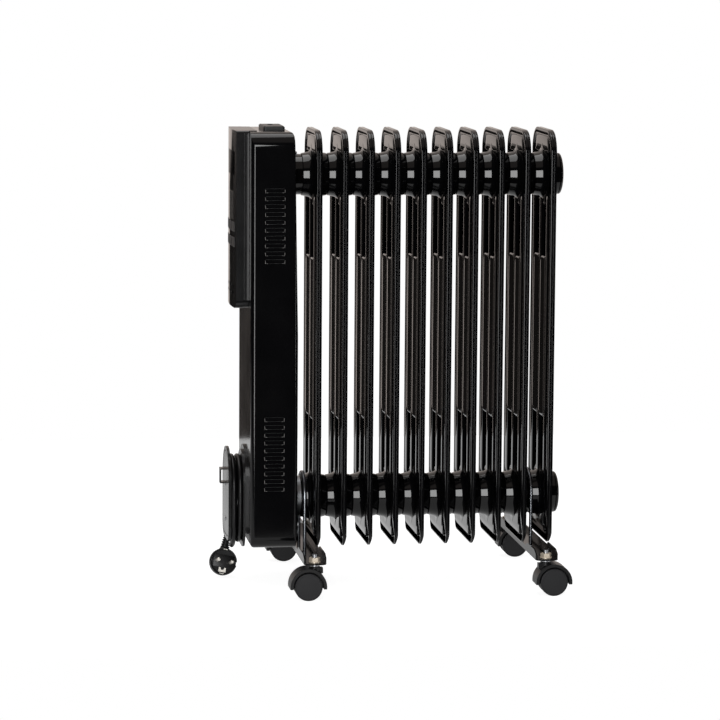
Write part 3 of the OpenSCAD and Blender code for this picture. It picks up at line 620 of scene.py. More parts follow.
# Glossy grey film on the touch plate
TOUCH_PC = Finish("polycarbonate film grey gloss", "4a4745", "524f4d", 0.05, 0.02,
                  Surface.PLATED, 12.0, 0.001)
# Matte key caps
KEY_ABS = Finish("ABS key caps matte", "1d1d1f", "242426", 0.42, 0.12, Surface.GRAINED, 0.7, 0.01)
# Dark red polycarbonate that lets infrared through
LENS_PC = Finish("polycarbonate infrared dark", "0a0507", "0e070a", 0.07, 0.03, Surface.PLATED, 20.0, 0.002)
# Soft PVC of the lead
CORD_PVC = Finish("PVC sheath black", "070708", "0b0b0c", 0.30, 0.08,
                  Surface.MOULDED, 1.2, 0.008, specular=0.3)
# Harder, grained PVC of the plug
PLUG_PVC = Finish("PVC moulded plug black", "09090a", "0e0e0f", 0.30, 0.10,
                  Surface.GRAINED, 0.9, 0.008, specular=0.3)
# Nickel on the plug's pins
NICKEL = Finish("nickel plated brass", "e6e3dc", "d3d0c8", 0.40, 0.12, Surface.PLATED, 2.0, 0.004, metal=1.0)
# Bright zinc on the U-bolts
ZINC_WIRE = Finish("zinc plated steel wire", "9c9fa4", "84878c", 0.22, 0.12,
                   Surface.PLATED, 1.5, 0.003, metal=1.0)
# Passivated zinc on the stem nuts, patchy
YELLOW_ZINC = Finish("pale passivated zinc", "ddd2c0", "c4b6a4", 0.34, 0.16,
                     Surface.PLATED, 1.2, 0.008, metal=0.45, drift=5.0)
# Bare drawn steel
STEEL = Finish("drawn mild steel", "a9abae", "8d8f92", 0.28, 0.14, Surface.DRAWN, 0.8, 0.01, metal=1.0)
# Element sheath, dulled by annealing
SHEATH = Finish("annealed element sheath", "6b655e", "4f4a45", 0.42, 0.2, Surface.DRAWN, 1.0, 0.01, metal=1.0)
# Polyamide of the casters' hoods
HOOD_PA = Finish("polyamide hood black", "0a0a0b", "0f0f10", 0.32, 0.10,
                 Surface.MOULDED, 1.0, 0.006, specular=0.3)
# Polyamide of the wheels, duller
WHEEL_PA = Finish("polyamide wheel dark grey", "161618", "1c1c1e", 0.46, 0.12,
                  Surface.MOULDED, 0.8, 0.01, specular=0.3)
# Green circuit board
BOARD = Finish("glass epoxy laminate green", "1f6a3c", "18532f", 0.30, 0.12, Surface.GRAINED, 1.2, 0.02)
# Cut-out's ceramic body
CERAMIC = Finish("steatite and bimetal", "d9d0bc", "c8bda5", 0.48, 0.12, Surface.MOULDED, 1.0, 0.02)
# Terminal block
BLOCK_PA = Finish("polyamide natural white", "e4e1d6", "d8d4c6", 0.44, 0.12, Surface.MOULDED, 1.2, 0.02)
# Heat-proof wires
SILICONE = Finish("silicone wire insulation", "a83a26", "93301f", 0.5, 0.1, Surface.MOULDED, 0.8, 0.02)
# Tip-over switch box
SWITCH_PA = Finish("polyamide dark switch box", "24262b", "2c2e34", 0.44, 0.12, Surface.GRAINED, 0.8, 0.02)


def dress(node: str, finish: Finish) -> None:
    """Gives a CAD node that stays visible its finish."""
    finish.on(bpy.data.objects[node])
    log.info("dressed %s with %s", node, finish.name)


def fit(piece: Solid, finish: Finish, slot: str, body: str, *nodes: str) -> Solid:
    """Dresses a new piece and ties it to its body and to the CAD nodes it stands for.

    Args:
        piece: the finished object.
        finish: its finish.
        slot: the record's material slot; not used.
        body: the CAD body it rides on.
        nodes: CAD nodes that it replaces.

    Returns:
        The piece.
    """
    piece.data.materials.clear()
    piece.data.materials.append(finish.material())
    if nodes:
        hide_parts(*nodes)
    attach(piece, body)
    log.info("made %s (%s), for %s", piece.name, finish.name, ", ".join(nodes) or "no node")
    return piece


def refine(node: str, name: str, width: float, segments: int, finish: Finish, slot: str,
           body: str = "heater") -> Solid:
    """Puts a rounded copy of a CAD node in the node's place.

    Args:
        node: the CAD node that is copied and replaced.
        name: the new piece's name.
        width: the rounding's width in millimetres.
        segments: faces across the rounding.
        finish: the piece's finish.
        slot: the record's material slot.
        body: the CAD body it rides on.

    Returns:
        The piece.
    """
    return fit(soften(node, name, width, segments), finish, slot, body, node)


# ---------------------------------------------------------------- camera, light, floor


@dataclass
class Studio:
    """Camera, lamps, floor and surroundings."""

    # Camera: its place in millimetres, its turns in degrees, its focal length
    eye: Point = (-687.033, -4557.0, 897.768)
    yaw: float = 8.04634328
    tilt: float = 7.3049526
    roll: float = 0.40057634
    lens: float = 166.6884
    # Floor, in metres: how far it reaches before and behind the middle, and its width
    floor_front: float = 0.48
    floor_back: float = 1.3
    floor_width: float = 3.0
    # How much of the floor's light is its own where it is seen, mirrored or looked at through glass
    floor_glow: float = 0.62
    # Brightness of the world for soft light
    soft: float = 0.55
    # Reflections of the backdrop: brightness beyond and before its edge, where the edge is on the
    # ray's X, the height at which it is closed, half of that band, and how fast it opens outside it
    mirrored: float = 0.7
    unlit: float = 0.015
    edge: tuple[float, float] = (-0.085, -0.045)
    closed_z: float = -0.12
    closed_half: float = 0.045
    opening: float = 8.0

    def camera(self) -> None:
        """Places the camera."""
        yaw, tilt, roll = (math.radians(v) for v in (self.yaw, self.tilt, self.roll))
        level = math.cos(tilt)
        ahead = Vector((math.sin(yaw) * level, math.cos(yaw) * level, -math.sin(tilt)))
        right = Vector((math.cos(yaw), -math.sin(yaw), 0.0))
        down = ahead.cross(right)
        if down.z > 0:
            down = -down
        across = right * math.cos(roll) - down * math.sin(roll)
        upward = -(right * math.sin(roll) + down * math.cos(roll))
        turn = Matrix((across, upward, -ahead)).transposed().to_4x4()
        data = bpy.data.cameras.new("camera")
        data.lens = self.lens
        data.sensor_width = 36.0
        data.clip_start = 0.05
        data.clip_end = 60.0
        camera = bpy.data.objects.new("camera", data)
        bpy.context.scene.collection.objects.link(camera)
        camera.matrix_world = Matrix.Translation(at(*self.eye)) @ turn
        bpy.context.scene.camera = camera

    def clear_rays(self, tree: Tree, seen: bpy.types.Node) -> Socket:
        """1 for rays from the camera, a reflection or glass, 0 for soft light."""
        either = maths(tree, "MAXIMUM", seen.outputs["Is Camera Ray"], seen.outputs["Is Glossy Ray"])
        return maths(tree, "MAXIMUM", either, seen.outputs["Is Transmission Ray"])

    def surroundings(self) -> None:
        """White all round, falling to dark on the side that the camera stands on."""
        world = bpy.data.worlds.new("studio")
        bpy.context.scene.world = world
        tree = blank_tree(world)
        seen = add(tree, "ShaderNodeLightPath")
        from_camera = seen.outputs["Is Camera Ray"]
        ray = add(tree, "ShaderNodeTexCoord").outputs["Generated"]
        axis = add(tree, "ShaderNodeSeparateXYZ", {"Vector": ray})
        behind = self.ramp(tree, axis.outputs["Y"], (0.08, 0.50), (0.012, 1.0))
        above = self.ramp(tree, axis.outputs["Z"], (0.50, 0.64), (0.0, 0.5))
        level = maths(tree, "MAXIMUM", behind, above)
        mirrored = maths(tree, "MULTIPLY", level, self.backdrop(tree, axis))
        strength = maths(tree, "MAXIMUM", from_camera, mirrored)
        tint = add(tree, "ShaderNodeMix", {6: hex_colour("fff2ea"), 7: (1, 1, 1, 1), 0: from_camera},
                   data_type="RGBA").outputs[2]
        white = add(tree, "ShaderNodeBackground", {"Color": tint, "Strength": strength}).outputs[0]
        soft = add(tree, "ShaderNodeBackground", {"Color": (1, 1, 1, 1), "Strength": self.soft}).outputs[0]
        mix = add(tree, "ShaderNodeMixShader", {0: self.clear_rays(tree, seen), 1: soft, 2: white})
        add(tree, "ShaderNodeOutputWorld", {"Surface": mix.outputs[0]})

    def ramp(self, tree: Tree, value: Socket, start: tuple[float, float],
             result: tuple[float, float]) -> Socket:
        """Smooth step of a value from one range to another.

        Args:
            tree: the node tree.
            value: the socket that is mapped.
            start: the range over which the step is taken.
            result: what it goes from and to.

        Returns:
            The mapped socket.
        """
        inputs = {"From Min": start[0], "From Max": start[1], "To Min": result[0], "To Max": result[1],
                  "Value": value}
        return add(tree, "ShaderNodeMapRange", inputs, interpolation_type="SMOOTHSTEP").outputs["Result"]

    def backdrop(self, tree: Tree, axis: bpy.types.Node) -> Socket:
        """Brightness of the backdrop in reflections: dark on the -X side, except high up and low down.

        Args:
            tree: the world's node tree.
            axis: the node that splits the ray's direction.

        Returns:
            The socket that gives the brightness.
        """
        shifted = maths(tree, "ADD", axis.outputs["Z"], -self.closed_z)
        away = maths(tree, "ABSOLUTE", shifted)
        outside = maths(tree, "MAXIMUM", maths(tree, "SUBTRACT", away, self.closed_half), 0.0)
        place = maths(tree, "MULTIPLY_ADD", outside, self.opening, axis.outputs["X"])
        return self.ramp(tree, place, self.edge, (self.unlit, self.mirrored))

    def floor(self) -> None:
        """A pale floor that keeps the object's shadow."""
        clear_selection()
        bpy.ops.mesh.primitive_grid_add(x_subdivisions=4, y_subdivisions=4, size=1, location=(0, 0, 0))
        floor = active()
        edit(floor)
        depth = self.floor_front + self.floor_back
        resize((self.floor_width, depth, 1))
        bpy.ops.transform.translate(value=(0, depth / 2 - self.floor_front, 0))
        done()
        floor.name = "floor"
        made = bpy.data.materials.new("paper sweep white")
        tree = blank_tree(made)
        seen = add(tree, "ShaderNodeLightPath")
        matte = add(tree, "ShaderNodeBsdfDiffuse", {"Color": (0.8, 0.8, 0.8, 1)}).outputs[0]
        level = maths(tree, "MULTIPLY_ADD", seen.outputs["Is Camera Ray"], 0.65, 0.8)
        glow = add(tree, "ShaderNodeEmission", {"Color": (1, 1, 1, 1), "Strength": level}).outputs[0]
        share = maths(tree, "MULTIPLY", self.clear_rays(tree, seen), self.floor_glow)
        mix = add(tree, "ShaderNodeMixShader", {0: share, 1: matte, 2: glow})
        add(tree, "ShaderNodeOutputMaterial", {"Surface": mix.outputs[0]})
        floor.data.materials.append(made)

    def lamp(self, name: str, place: Point, target: Point, size: tuple[float, float], power: float) -> None:
        """Adds a soft area lamp.

        Args:
            name: the lamp's name.
            place: where it stands, in metres.
            target: what it points at, in metres.
            size: its width and height, in metres.
            power: watts.
        """
        data = bpy.data.lights.new(name, "AREA")
        data.shape = "RECTANGLE"
        data.size, data.size_y = size
        data.energy = power
        lamp = bpy.data.objects.new(name, data)
        bpy.context.scene.collection.objects.link(lamp)
        lamp.location = place
        lamp.rotation_euler = (Vector(target) - Vector(place)).to_track_quat("-Z", "Y").to_euler()

    def build(self) -> None:
        """Builds the whole studio."""
        self.camera()
        self.surroundings()
        self.floor()
        self.lamp("front softbox", (-0.82, -3.0, 0.66), (0.0, 0.0, 0.66), (0.85, 2.0), 54)
        self.lamp("side strip", (2.6, -1.5, 0.45), (0, 0, 0.35), (0.25, 1.2), 9)
        self.lamp("overhead softbox", (-0.3, 0.3, 2.6), (0, 0, 0.3), (1.6, 1.6), 24)
        bpy.context.scene.view_settings.view_transform = "Standard"
        log.info("studio ready")


# ---------------------------------------------------------------- cord


@dataclass
class MainsLead:
    """The mains lead: wound on the winder, its free end and its plug."""

    cord_r: float = 3.5
    columns: tuple[float, float] = (-214.0, -222.6)
    layers: tuple[float, float, float] = (27.8, 35.05, 42.3)
    half: float = 20.0
    centre_z: float = 113.0
    per_turn: int = 40
    # Shares of a turn at which its lower bend, its near side and its upper bend end
    bends: tuple[float, float, float] = (0.35, 0.5, 0.85)
    exit_point: Point = (-217.0, 22.4, 113.0)
    tail: tuple[Point, ...] = ((-222.6, 42.3, 88), (-222.6, 41.8, 81), (-222.6, 40.9, 74),
                               (-223.0, 39.5, 67), (-223.9, 37.7, 60))
    # Height at which the first turn starts and the last one ends
    start_z: float = 96.0
    # Radius and angles in degrees of the bend from the exit to the first turn
    lead_in: float = 29.0
    lead_in_angles: tuple[float, ...] = (34.0, 24.0, 14.0, 5.0)
    # Shares of a turn between which the lead crosses to its next place
    moves: tuple[tuple[float, float], ...] = ((0.64, 0.78), (0.5, 0.64), (0.355, 0.495), (0.20, 0.34),
                                              (0.07, 0.20))
    plug_tilt: float = 12.0
    plug_lean: float = 15.0
    plug_drop: float = 41.7
    plug_r: float = 19.0

    def lap(self, u: float, radius: float) -> tuple[float, float]:
        """Point (y, z) on a turn at share u, from the far lower corner through the bottom.

        Args:
            u: share of the turn, from 0 to 1.
            radius: radius of the turn's bends.

        Returns:
            The point's y and z.
        """
        low, high = self.centre_z - self.half, self.centre_z + self.half
        bend, near, over = self.bends
        if u < bend:
            a = math.pi * u / bend
            return radius * math.cos(a), low - radius * math.sin(a)
        if u < near:
            return -radius, low + (u - bend) / (near - bend) * (high - low)
        if u < over:
            a = math.pi * (u - near) / (over - near)
            return -radius * math.cos(a), high + radius * math.sin(a)
        return radius, high - (u - over) / (1 - over) * (high - low)

    def route(self) -> list[Point]:
        """Points of the whole lead, from the hub's bush to the plug, in millimetres.

        Returns:
            The points, in order.
        """
        near_tower, outer = self.columns
        first, second, third = self.layers
        slots = [(near_tower, first), (outer, first), (outer, second),
                 (near_tower, second), (near_tower, third), (outer, third)]
        points: list[Point] = []
        widest = self.lead_in_angles[0]
        for phi in self.lead_in_angles:
            a = math.radians(phi)
            share = (widest - phi) / widest
            points.append((self.exit_point[0] + share * (near_tower - self.exit_point[0]),
                           first - self.lead_in + self.lead_in * math.cos(a),
                           self.start_z + self.lead_in * math.sin(a)))
        for turn, (start, end) in enumerate(self.moves):
            for step in range(self.per_turn):
                u = step / self.per_turn
                share = min(max((u - start) / (end - start), 0.0), 1.0)
                share = share * share * (3 - 2 * share)
                x = slots[turn][0] + share * (slots[turn + 1][0] - slots[turn][0])
                radius = slots[turn][1] + share * (slots[turn + 1][1] - slots[turn][1])
                y, z = self.lap(u, radius)
                points.append((x, y, z))
        points.append((outer, third, self.start_z))
        points.extend(self.tail)
        return points

    def length(self, points: Sequence[Point]) -> float:
        """Length of the route in metres."""
        return sum((at(*a) - at(*b)).length for a, b in zip(points, points[1:]))

    def plug_frame(self) -> Matrix:
        """Place of the plug: its face looks along -Y and a little up, and its cord leaves upwards.

        Returns:
            The plug's place and turn.
        """
        turn = (Matrix.Rotation(math.radians(self.plug_tilt), 4, "Y")
                @ Matrix.Rotation(math.radians(-self.plug_lean), 4, "X"))
        centre = Vector(self.tail[-1]) - self.plug_drop * (turn.to_3x3() @ Vector((0, 0, 1)))
        return Matrix.Translation(at(*centre)) @ turn

    def sheath(self) -> Solid:
        """The lead itself, one open curve with a round section.

        Returns:
            The curve's object.
        """
        points = self.route()
        curve = bpy.data.curves.new("mains_lead", "CURVE")
        curve.dimensions = "3D"
        spline = curve.splines.new("POLY")
        spline.points.add(len(points) - 1)
        for target, point in zip(spline.points, points):
            target.co = (*at(*point), 1.0)
        curve.bevel_depth = mm(self.cord_r)
        curve.bevel_resolution = 4
        curve.use_fill_caps = True
        spline.use_smooth = True
        lead = bpy.data.objects.new("mains_lead", curve)
        bpy.context.scene.collection.objects.link(lead)
        return lead

    def relief(self) -> Solid:
        """Ribbed sleeve that stiffens the lead where it enters the plug.

        Returns:
            The sleeve.
        """
        length = 22.0
        ribs = 7
        steps = [(6.0, -4.0)]
        for index in range(ribs):
            base = index * length / ribs
            outer = 6.5 - index * 0.36
            neck = max(outer - 1.2, 3.7)
            steps += [(neck, base + 0.1), (neck, base + 0.9), (outer - 0.2, base + 1.2),
                      (outer, base + 1.6), (outer, base + 2.5), (outer - 0.3, base + 2.9)]
        steps += [(3.9, length - 0.1), (3.6, length)]
        piece = turned(steps, Vector((0, 0, 0)), Vector((0, 0, 1)), 32)
        piece.matrix_world = self.plug_frame() @ Matrix.Translation(at(0, 0, self.plug_drop - length))
        return settle(piece, "lead_strain_relief", 50)

    def plug(self) -> Solid:
        """Round angled plug with a gripping rim, a recessed face and a guide groove on each side.

        Returns:
            The plug.
        """
        r = self.plug_r
        face = -14.0
        back = 13.0
        steps = [(4.0, face + 2.0), (r - 2.6, face + 2.0), (r - 2.2, face + 1.6), (r - 2.0, face + 0.4),
                 (r - 1.5, face), (r - 0.5, face), (r, face + 0.6), (r, face + 4.6), (r - 0.8, face + 5.2),
                 (r - 0.8, face + 6.4), (r, face + 7.0), (r, face + 11.5), (r - 0.7, face + 13.0),
                 (r - 3.4, back - 6), (r - 5.6, back - 2), (r - 7.5, back - 0.4), (r - 9.0, back)]
        body = turned(steps, Vector((0, 0, 0)), Vector((0, 1, 0)), 64)
        for side in (-1, 1):
            x = side * (r - 0.9)
            self.carve(body, block(at(x - 1.6, face - 1, -2.5), at(x + 1.6, face + 9, 2.5)))
        bars = []
        for side in (-1, 1):
            for z in (-11.0, -7.0, 7.0, 11.0):
                # a grip bar is 1.6 mm thick and ends flush with the rim
                x = side * (math.sqrt(r * r - z * z) - 0.8)
                bars.append(block(at(x - 0.8, face + 7.6, z - 1.0), at(x + 0.8, face + 11.6, z + 1.0), 0.5))
        neck = turned([(7.4, 0), (7.4, 18.0), (7.0, 19.6), (5.9, 20.4)], at(0, 0, 0), Vector((0, 0, 1)), 40)
        core = block(at(-14.5, face + 0.1, -9), at(14.5, face + 3, 9.5), 0.8)
        piece = join([body, *bars, neck, core])
        piece.matrix_world = self.plug_frame() @ piece.matrix_world
        return settle(piece, "plug_moulding", 40)

    def carve(self, body: Solid, tool: Solid) -> None:
        """Cuts one block out of a piece and removes the block."""
        put_modifier(body, "BOOLEAN", object=tool, operation="DIFFERENCE", solver="EXACT")
        bpy.data.objects.remove(tool)

    def build(self) -> None:
        """Builds the lead, its strain relief and its plug."""
        lead = self.sheath()
        relief = fit(self.relief(), PLUG_PVC, "plug_rubber", "heater", "plug_relief")
        plug = fit(self.plug(), PLUG_PVC, "plug_rubber", "heater", "plug_body")
        lead.data.materials.append(CORD_PVC.material())
        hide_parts("cord_coil", "cord_tail")
        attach(lead, "heater")
        dress("plug_contacts", NICKEL)
        dress("cord_gland", PLUG_PVC)


# ---------------------------------------------------------------- fins


@dataclass
class FinStack:
    """Ten pressed fins with their header bosses."""

    width: float = 140.0
    low: float = 57.0
    high: float = 630.0
    r_high: float = 33.0
    r_low: float = 14.0
    header_z: tuple[float, float] = (118.0, 567.0)
    channel_y: tuple[float, float, float] = (-46.7, 0.0, 46.7)
    channel_z: tuple[float, float] = (141.0, 542.0)
    land_z: tuple[float, float] = (229.0, 455.0)
    channel_width: float = 23.0
    land_width: float = 42.0
    end_width: float = 112.0
    # Half thickness of the rolled border and of the plain seam
    roll: float = 4.15
    seam: float = 1.25
    # Heights over the bottom between which the seam grows to the full roll, on the -X and +X sides
    folds: tuple[tuple[float, float], tuple[float, float]] = ((13.0, 42.0), (2.0, 15.0))

    def sheet(self) -> Solid:
        """Half of a fin's sheet with its rolled border, on the +X side.

        Returns:
            The half sheet.
        """
        form = PressedForm(self.width, self.low, self.high, self.r_low, self.r_high, segments=12)
        rim = [(0.5, 0.0), (0.05, 0.5), (0.0, 0.7), (0.0, 1.0), (0.0, 2.7), (0.02, 2.9), (0.2, 3.35),
               (0.6, 3.75), (1.2, 4.0), (2.2, 4.12), (4.2, 4.15), (6.0, 4.05), (7.4, 3.75), (8.6, 3.1),
               (9.8, 2.0), (11.4, 1.35), (12.2, 1.25)]
        return form.build(rim, closed_base=False)

    def channel(self, y: float) -> Solid:
        """One upright oil channel pressed out of the sheet.

        Args:
            y: the channel's middle.

        Returns:
            The channel, on the +X side.
        """
        low, high = self.channel_z
        form = PressedForm(self.channel_width, low - 2, high + 2, 11.4, 11.4, y=y)
        dome = [(0.0, 1.0), (0.5, 1.6), (1.2, 2.7), (2.2, 3.7), (3.5, 4.27), (5.5, 4.55), (7.5, 4.74),
                (9.5, 4.86), (10.9, 4.9)]
        return form.build(dome, closed_base=True)

    def land(self, y: float) -> Solid:
        """Raised field that nearly closes the valley between two channels at mid-height.

        Args:
            y: the field's middle.

        Returns:
            The field, on the +X side.
        """
        low, high = self.land_z
        form = PressedForm(self.land_width, low, high, 12.0, 12.0, y=y)
        steps = [(0.0, 1.0), (0.8, 3.2), (1.5, 4.3), (2.1, 4.75), (3.2, 4.92), (5.0, 4.95), (11.0, 4.95)]
        return form.build(steps, closed_base=True)

    def end_field(self, low: float, high: float, r_low: float, r_high: float) -> Solid:
        """Raised field between a header boss and the end of the fin, nearly level with the border.

        Args:
            low: lowest z of the field.
            high: highest z of the field.
            r_low: radius of its bottom corners.
            r_high: radius of its top corners.

        Returns:
            The field, on the +X side.
        """
        form = PressedForm(self.end_width, low, high, r_low, r_high)
        steps = [(0.0, 1.0), (0.8, 2.2), (1.6, 3.1), (2.6, 3.5), (4.0, 3.6), (14.0, 3.6)]
        return form.build(steps, closed_base=True)

    def boss(self, z: float) -> Solid:
        """One side of a header boss, from its dish to the seam with the next fin.

        Args:
            z: the header's height.

        Returns:
            The boss, on the +X side.
        """
        profile = [(46.0, 1.0), (44.8, 1.35), (43.0, 2.3), (41.4, 3.0), (38.6, 3.3), (35.4, 3.7),
                   (33.2, 4.6), (31.9, 6.0), (31.1, 7.8), (30.7, 9.4), (29.1, 17.0), (28.6, 17.5),
                   (27.8, 17.8), (27.2, 18.0)]
        return turned(profile, at(0, 0, z), Vector((1, 0, 0)), 64)

    def gusset(self, apex: float, foot: float, half: float = 27.0) -> Solid:
        """Pressed wedge between a header and the border.

        Args:
            apex: height of its point.
            foot: height of its wide end.
            half: half the width of that end.

        Returns:
            The wedge, on the +X side.
        """
        base_x = 1.0
        clear_selection()
        bpy.ops.mesh.primitive_circle_add(vertices=3, radius=mm(1), fill_type="NGON", location=(0, 0, 0),
                                          rotation=(0, math.pi / 2, 0))
        piece = active()
        apply_place(piece)
        edit(piece)
        mesh = bmesh.from_edit_mesh(piece.data)
        corners = [at(base_x, 0, apex), at(base_x, -half, foot), at(base_x, half, foot)]
        for vert, place in zip(mesh.verts, corners):
            vert.co = place
        bmesh.update_edit_mesh(piece.data)
        select_all()
        bpy.ops.mesh.bevel(offset=mm(5), segments=4, affect="VERTICES")
        select_all()
        bpy.ops.mesh.select_mode(type="FACE")
        centre = at(base_x, 0, (apex + 2 * foot) / 3)
        for rise, shrink in ((0.5, 0.95), (0.9, 0.92), (0.9, 0.9), (0.4, 0.88), (0.15, 0.85)):
            extrude(mm(rise), 0, 0)
            resize((1, shrink, shrink), centre)
        done()
        return piece

    def fin(self) -> Solid:
        """A whole fin about the plane x = 0.

        Returns:
            The fin.
        """
        low_z, high_z = self.header_z
        parts = [self.sheet()]
        parts += [self.channel(y) for y in self.channel_y]
        parts += [self.land(y) for y in (-self.channel_y[2] / 2, self.channel_y[2] / 2)]
        parts += [self.boss(z) for z in self.header_z]
        parts.append(self.gusset(self.high - 13, high_z + 20))
        parts.append(self.gusset(self.low + 9, low_z - 12, 50.0))
        parts.append(self.end_field(self.low + 6, low_z, 10.0, 12.0))
        parts.append(self.end_field(self.high - 34, self.high - 9, 10.0, 24.0))
        half = join(parts)
        apply_place(half)
        put_modifier(half, "MIRROR", use_axis=(True, False, False), use_clip=True, use_mirror_merge=True,
                     merge_threshold=2 * MERGE)
        self.thin_foot(half)
        return settle(half, "fin_master", 32)

    def thin_foot(self, piece: Solid) -> None:
        """Thins the rolled border towards the bottom, earlier on the -X side, down to a plain seam.

        Args:
            piece: the whole fin.
        """
        cuts = (2, 6, 10, 14, 22, 32, 42)
        edit(piece)
        for rise in cuts:
            select_all()
            bpy.ops.mesh.bisect(plane_co=at(0, 0, self.low + rise), plane_no=(0, 0, 1), use_fill=False)
        mesh = bmesh.from_edit_mesh(piece.data)
        for vert in mesh.verts:
            height = 1000 * vert.co.z - self.low
            if height > cuts[-1] + 0.5:
                continue
            side = -1 if vert.co.x < 0 else 1
            start, end = self.folds[side > 0]
            share = min(max((height - start) / (end - start), 0.0), 1.0)
            limit = mm(self.seam + share * (self.roll - self.seam))
            # the pressed wedge inside the border keeps its height
            inner = abs(1000 * vert.co.y) < self.width / 2 - 16 and height > 12
            if abs(vert.co.x) > limit and not inner:
                vert.co.x = side * limit
        bmesh.update_edit_mesh(piece.data)
        done()

    def build(self) -> None:
        """Builds one fin and copies it along the headers."""
        master = self.fin()
        for index in range(FINS):
            piece = copy_of(master, f"fin_pressing_{index + 1:02d}", at(X1 + index * PITCH, 0, 0))
            fit(piece, FIN_COAT, "fin_paint", "heater", f"fin_{index + 1:02d}")
        bpy.data.objects.remove(master)
        self.caps()

    def caps(self) -> None:
        """Domed discs behind the last fin."""
        pieces = []
        for z in self.header_z:
            profile = [(27.6, 0.0), (28.5, 0.6), (28.5, 2.0), (27.6, 3.2), (25.0, 4.3), (21.0, 5.2),
                       (16.0, 5.85), (10.0, 6.25), (4.0, 6.4)]
            pieces.append(turned(profile, at(X10 + PITCH / 2, 0, z), Vector((1, 0, 0)), 64))
        fit(settle(join(pieces), "header_domes", 40), FIN_COAT, "fin_paint", "heater", "header_caps")


# ---------------------------------------------------------------- tower and panel


@dataclass
class Tower:
    """Sheet-metal tower, its grip cap, back sheet and what it holds."""

    louvre_x: float = X1 - 62.0
    louvre_size: tuple[float, float] = (26.0, 5.4)
    louvre_rise: float = 1.4
    louvre_rows: tuple[float, float] = (141.0, 454.0)
    louvre_count: int = 10
    louvre_pitch: float = 10.7
    wall_y: float = 80.0

    def louvre_edges(self) -> Solid:
        """Thin edges of the pressed hoods, the lower lip and the upper fold, a shade lighter than the coat as
        painted highlight lines.

        Returns:
            One piece with the edges of every louvre.
        """
        width, height = self.louvre_size
        lip = self.wall_y + self.louvre_rise
        rows = []
        for base in self.louvre_rows:
            x0, x1 = self.louvre_x - width / 2, self.louvre_x + width / 2
            low, high = base - height / 2, base + height / 2
            bars = [block(at(x0, -lip - 0.05, low), at(x1, -lip + 0.5, low + 0.35)),
                    block(at(x0, -self.wall_y - 0.12, high - 0.15), at(x1, -self.wall_y + 0.3, high + 0.2))]
            rows.append(join(bars))
        return self.repeated(rows, "louvre_lip_sheen_lines")

    def louvre_ends(self) -> Solid:
        """Sheared ends of the hoods: a short hook at each side, from the lip up to the fold, in grey that
        paints the ends' highlight.

        Returns:
            One piece with the ends of every louvre.
        """
        width, height = self.louvre_size
        lip = self.wall_y + self.louvre_rise
        rows = []
        for base in self.louvre_rows:
            hooks = []
            for side in (-1, 1):
                x = self.louvre_x + side * width / 2
                low, high = base - height / 2, base + height / 2
                hook = block(at(x - 0.3, -lip - 0.1, low - 0.2), at(x + 0.3, -lip + 0.5, high - 1.2))
                edit(hook)
                pick_verts(hook, lambda p: p.z > mm(high - 1.3))
                bpy.ops.transform.translate(value=at(side * 0.5, self.louvre_rise * 0.8, 0))
                done()
                x -= side * 2.2
                foot = block(at(x - 0.8, -lip - 0.1, low - 0.2), at(x + 0.8, -lip + 0.5, low + 0.35))
                hooks += [hook, foot]
            rows.append(join(hooks))
        return self.repeated(rows, "louvre_end_highlights")

    def repeated(self, rows: list[Solid], name: str) -> Solid:
        """Repeats one louvre's edges up both groups and on both sides of the tower.

        Args:
            rows: the edges of the lowest louvre of each group.
            name: the finished piece's name.

        Returns:
            One piece with the edges of every louvre.
        """
        for row in rows:
            put_modifier(row, "ARRAY", count=self.louvre_count, use_relative_offset=False,
                         use_constant_offset=True, constant_offset_displace=at(0, 0, self.louvre_pitch))
        near = join(rows)
        put_modifier(near, "MIRROR", use_axis=(False, True, False))
        return settle(near, name, 30)

    def build(self) -> None:
        """Builds the tower's pieces."""
        refine("tower_shell", "tower_housing", 0.35, 2, TOWER_COAT, "tower_paint")
        # the lips and folds are a shade lighter as a painted highlight
        fit(self.louvre_edges(), LOUVRE_LIP_SHEEN, "tower_paint", "heater")
        # the hooked ends are grey as a painted highlight
        fit(self.louvre_ends(), LOUVRE_END_HIGHLIGHT, "tower_paint", "heater")
        refine("tower_back", "tower_rear_sheet", 0.3, 2, TOWER_COAT, "tower_paint")
        refine("handle_cap", "tower_grip_cap", 0.9, 3, CAP_ABS, "cap_plastic")
        finishes = {"header_plug": FIN_COAT, "element_flange": STEEL, "heating_element": SHEATH,
                    "thermal_cutout": CERAMIC, "terminal_block": BLOCK_PA, "tilt_switch": SWITCH_PA,
                    "wiring": SILICONE, "case_screws": STEEL}
        for node, finish in finishes.items():
            dress(node, finish)


@dataclass
class ControlPanel:
    """Keypad panel on the front of the tower."""

    keys: int = 6

    def polish_face(self, shell: Solid) -> None:
        """Gives the shell's foremost face the polished finish.

        Args:
            shell: the panel's front shell.
        """
        shell.data.materials.append(FACE_ABS.material())
        front = min(vert.co.x for vert in shell.data.vertices)
        for face in shell.data.polygons:
            if face.normal.x < -0.9 and face.center.x < front + mm(1.0):
                face.material_index = 1

    def build(self) -> None:
        """Builds the panel's pieces."""
        shell = refine("panel_housing", "panel_front_shell", 0.5, 3, PANEL_ABS, "panel_plastic")
        self.polish_face(shell)
        refine("panel_back", "panel_rear_shell", 0.5, 2, PANEL_ABS, "panel_plastic")
        refine("display_window", "panel_display", 0.25, 2, DISPLAY_PMMA, "display_glass")
        refine("touch_plate", "panel_touch_plate", 0.25, 2, TOUCH_PC, "touch_gloss")
        refine("infrared_lens", "panel_infrared_lens", 0.3, 3, LENS_PC, "lens_plastic")
        for key in range(1, self.keys + 1):
            button = f"button_{key}"
            refine(button, f"key_cap_{key}", 0.45, 3, KEY_ABS, "button_plastic", button)
        dress("control_board", BOARD)


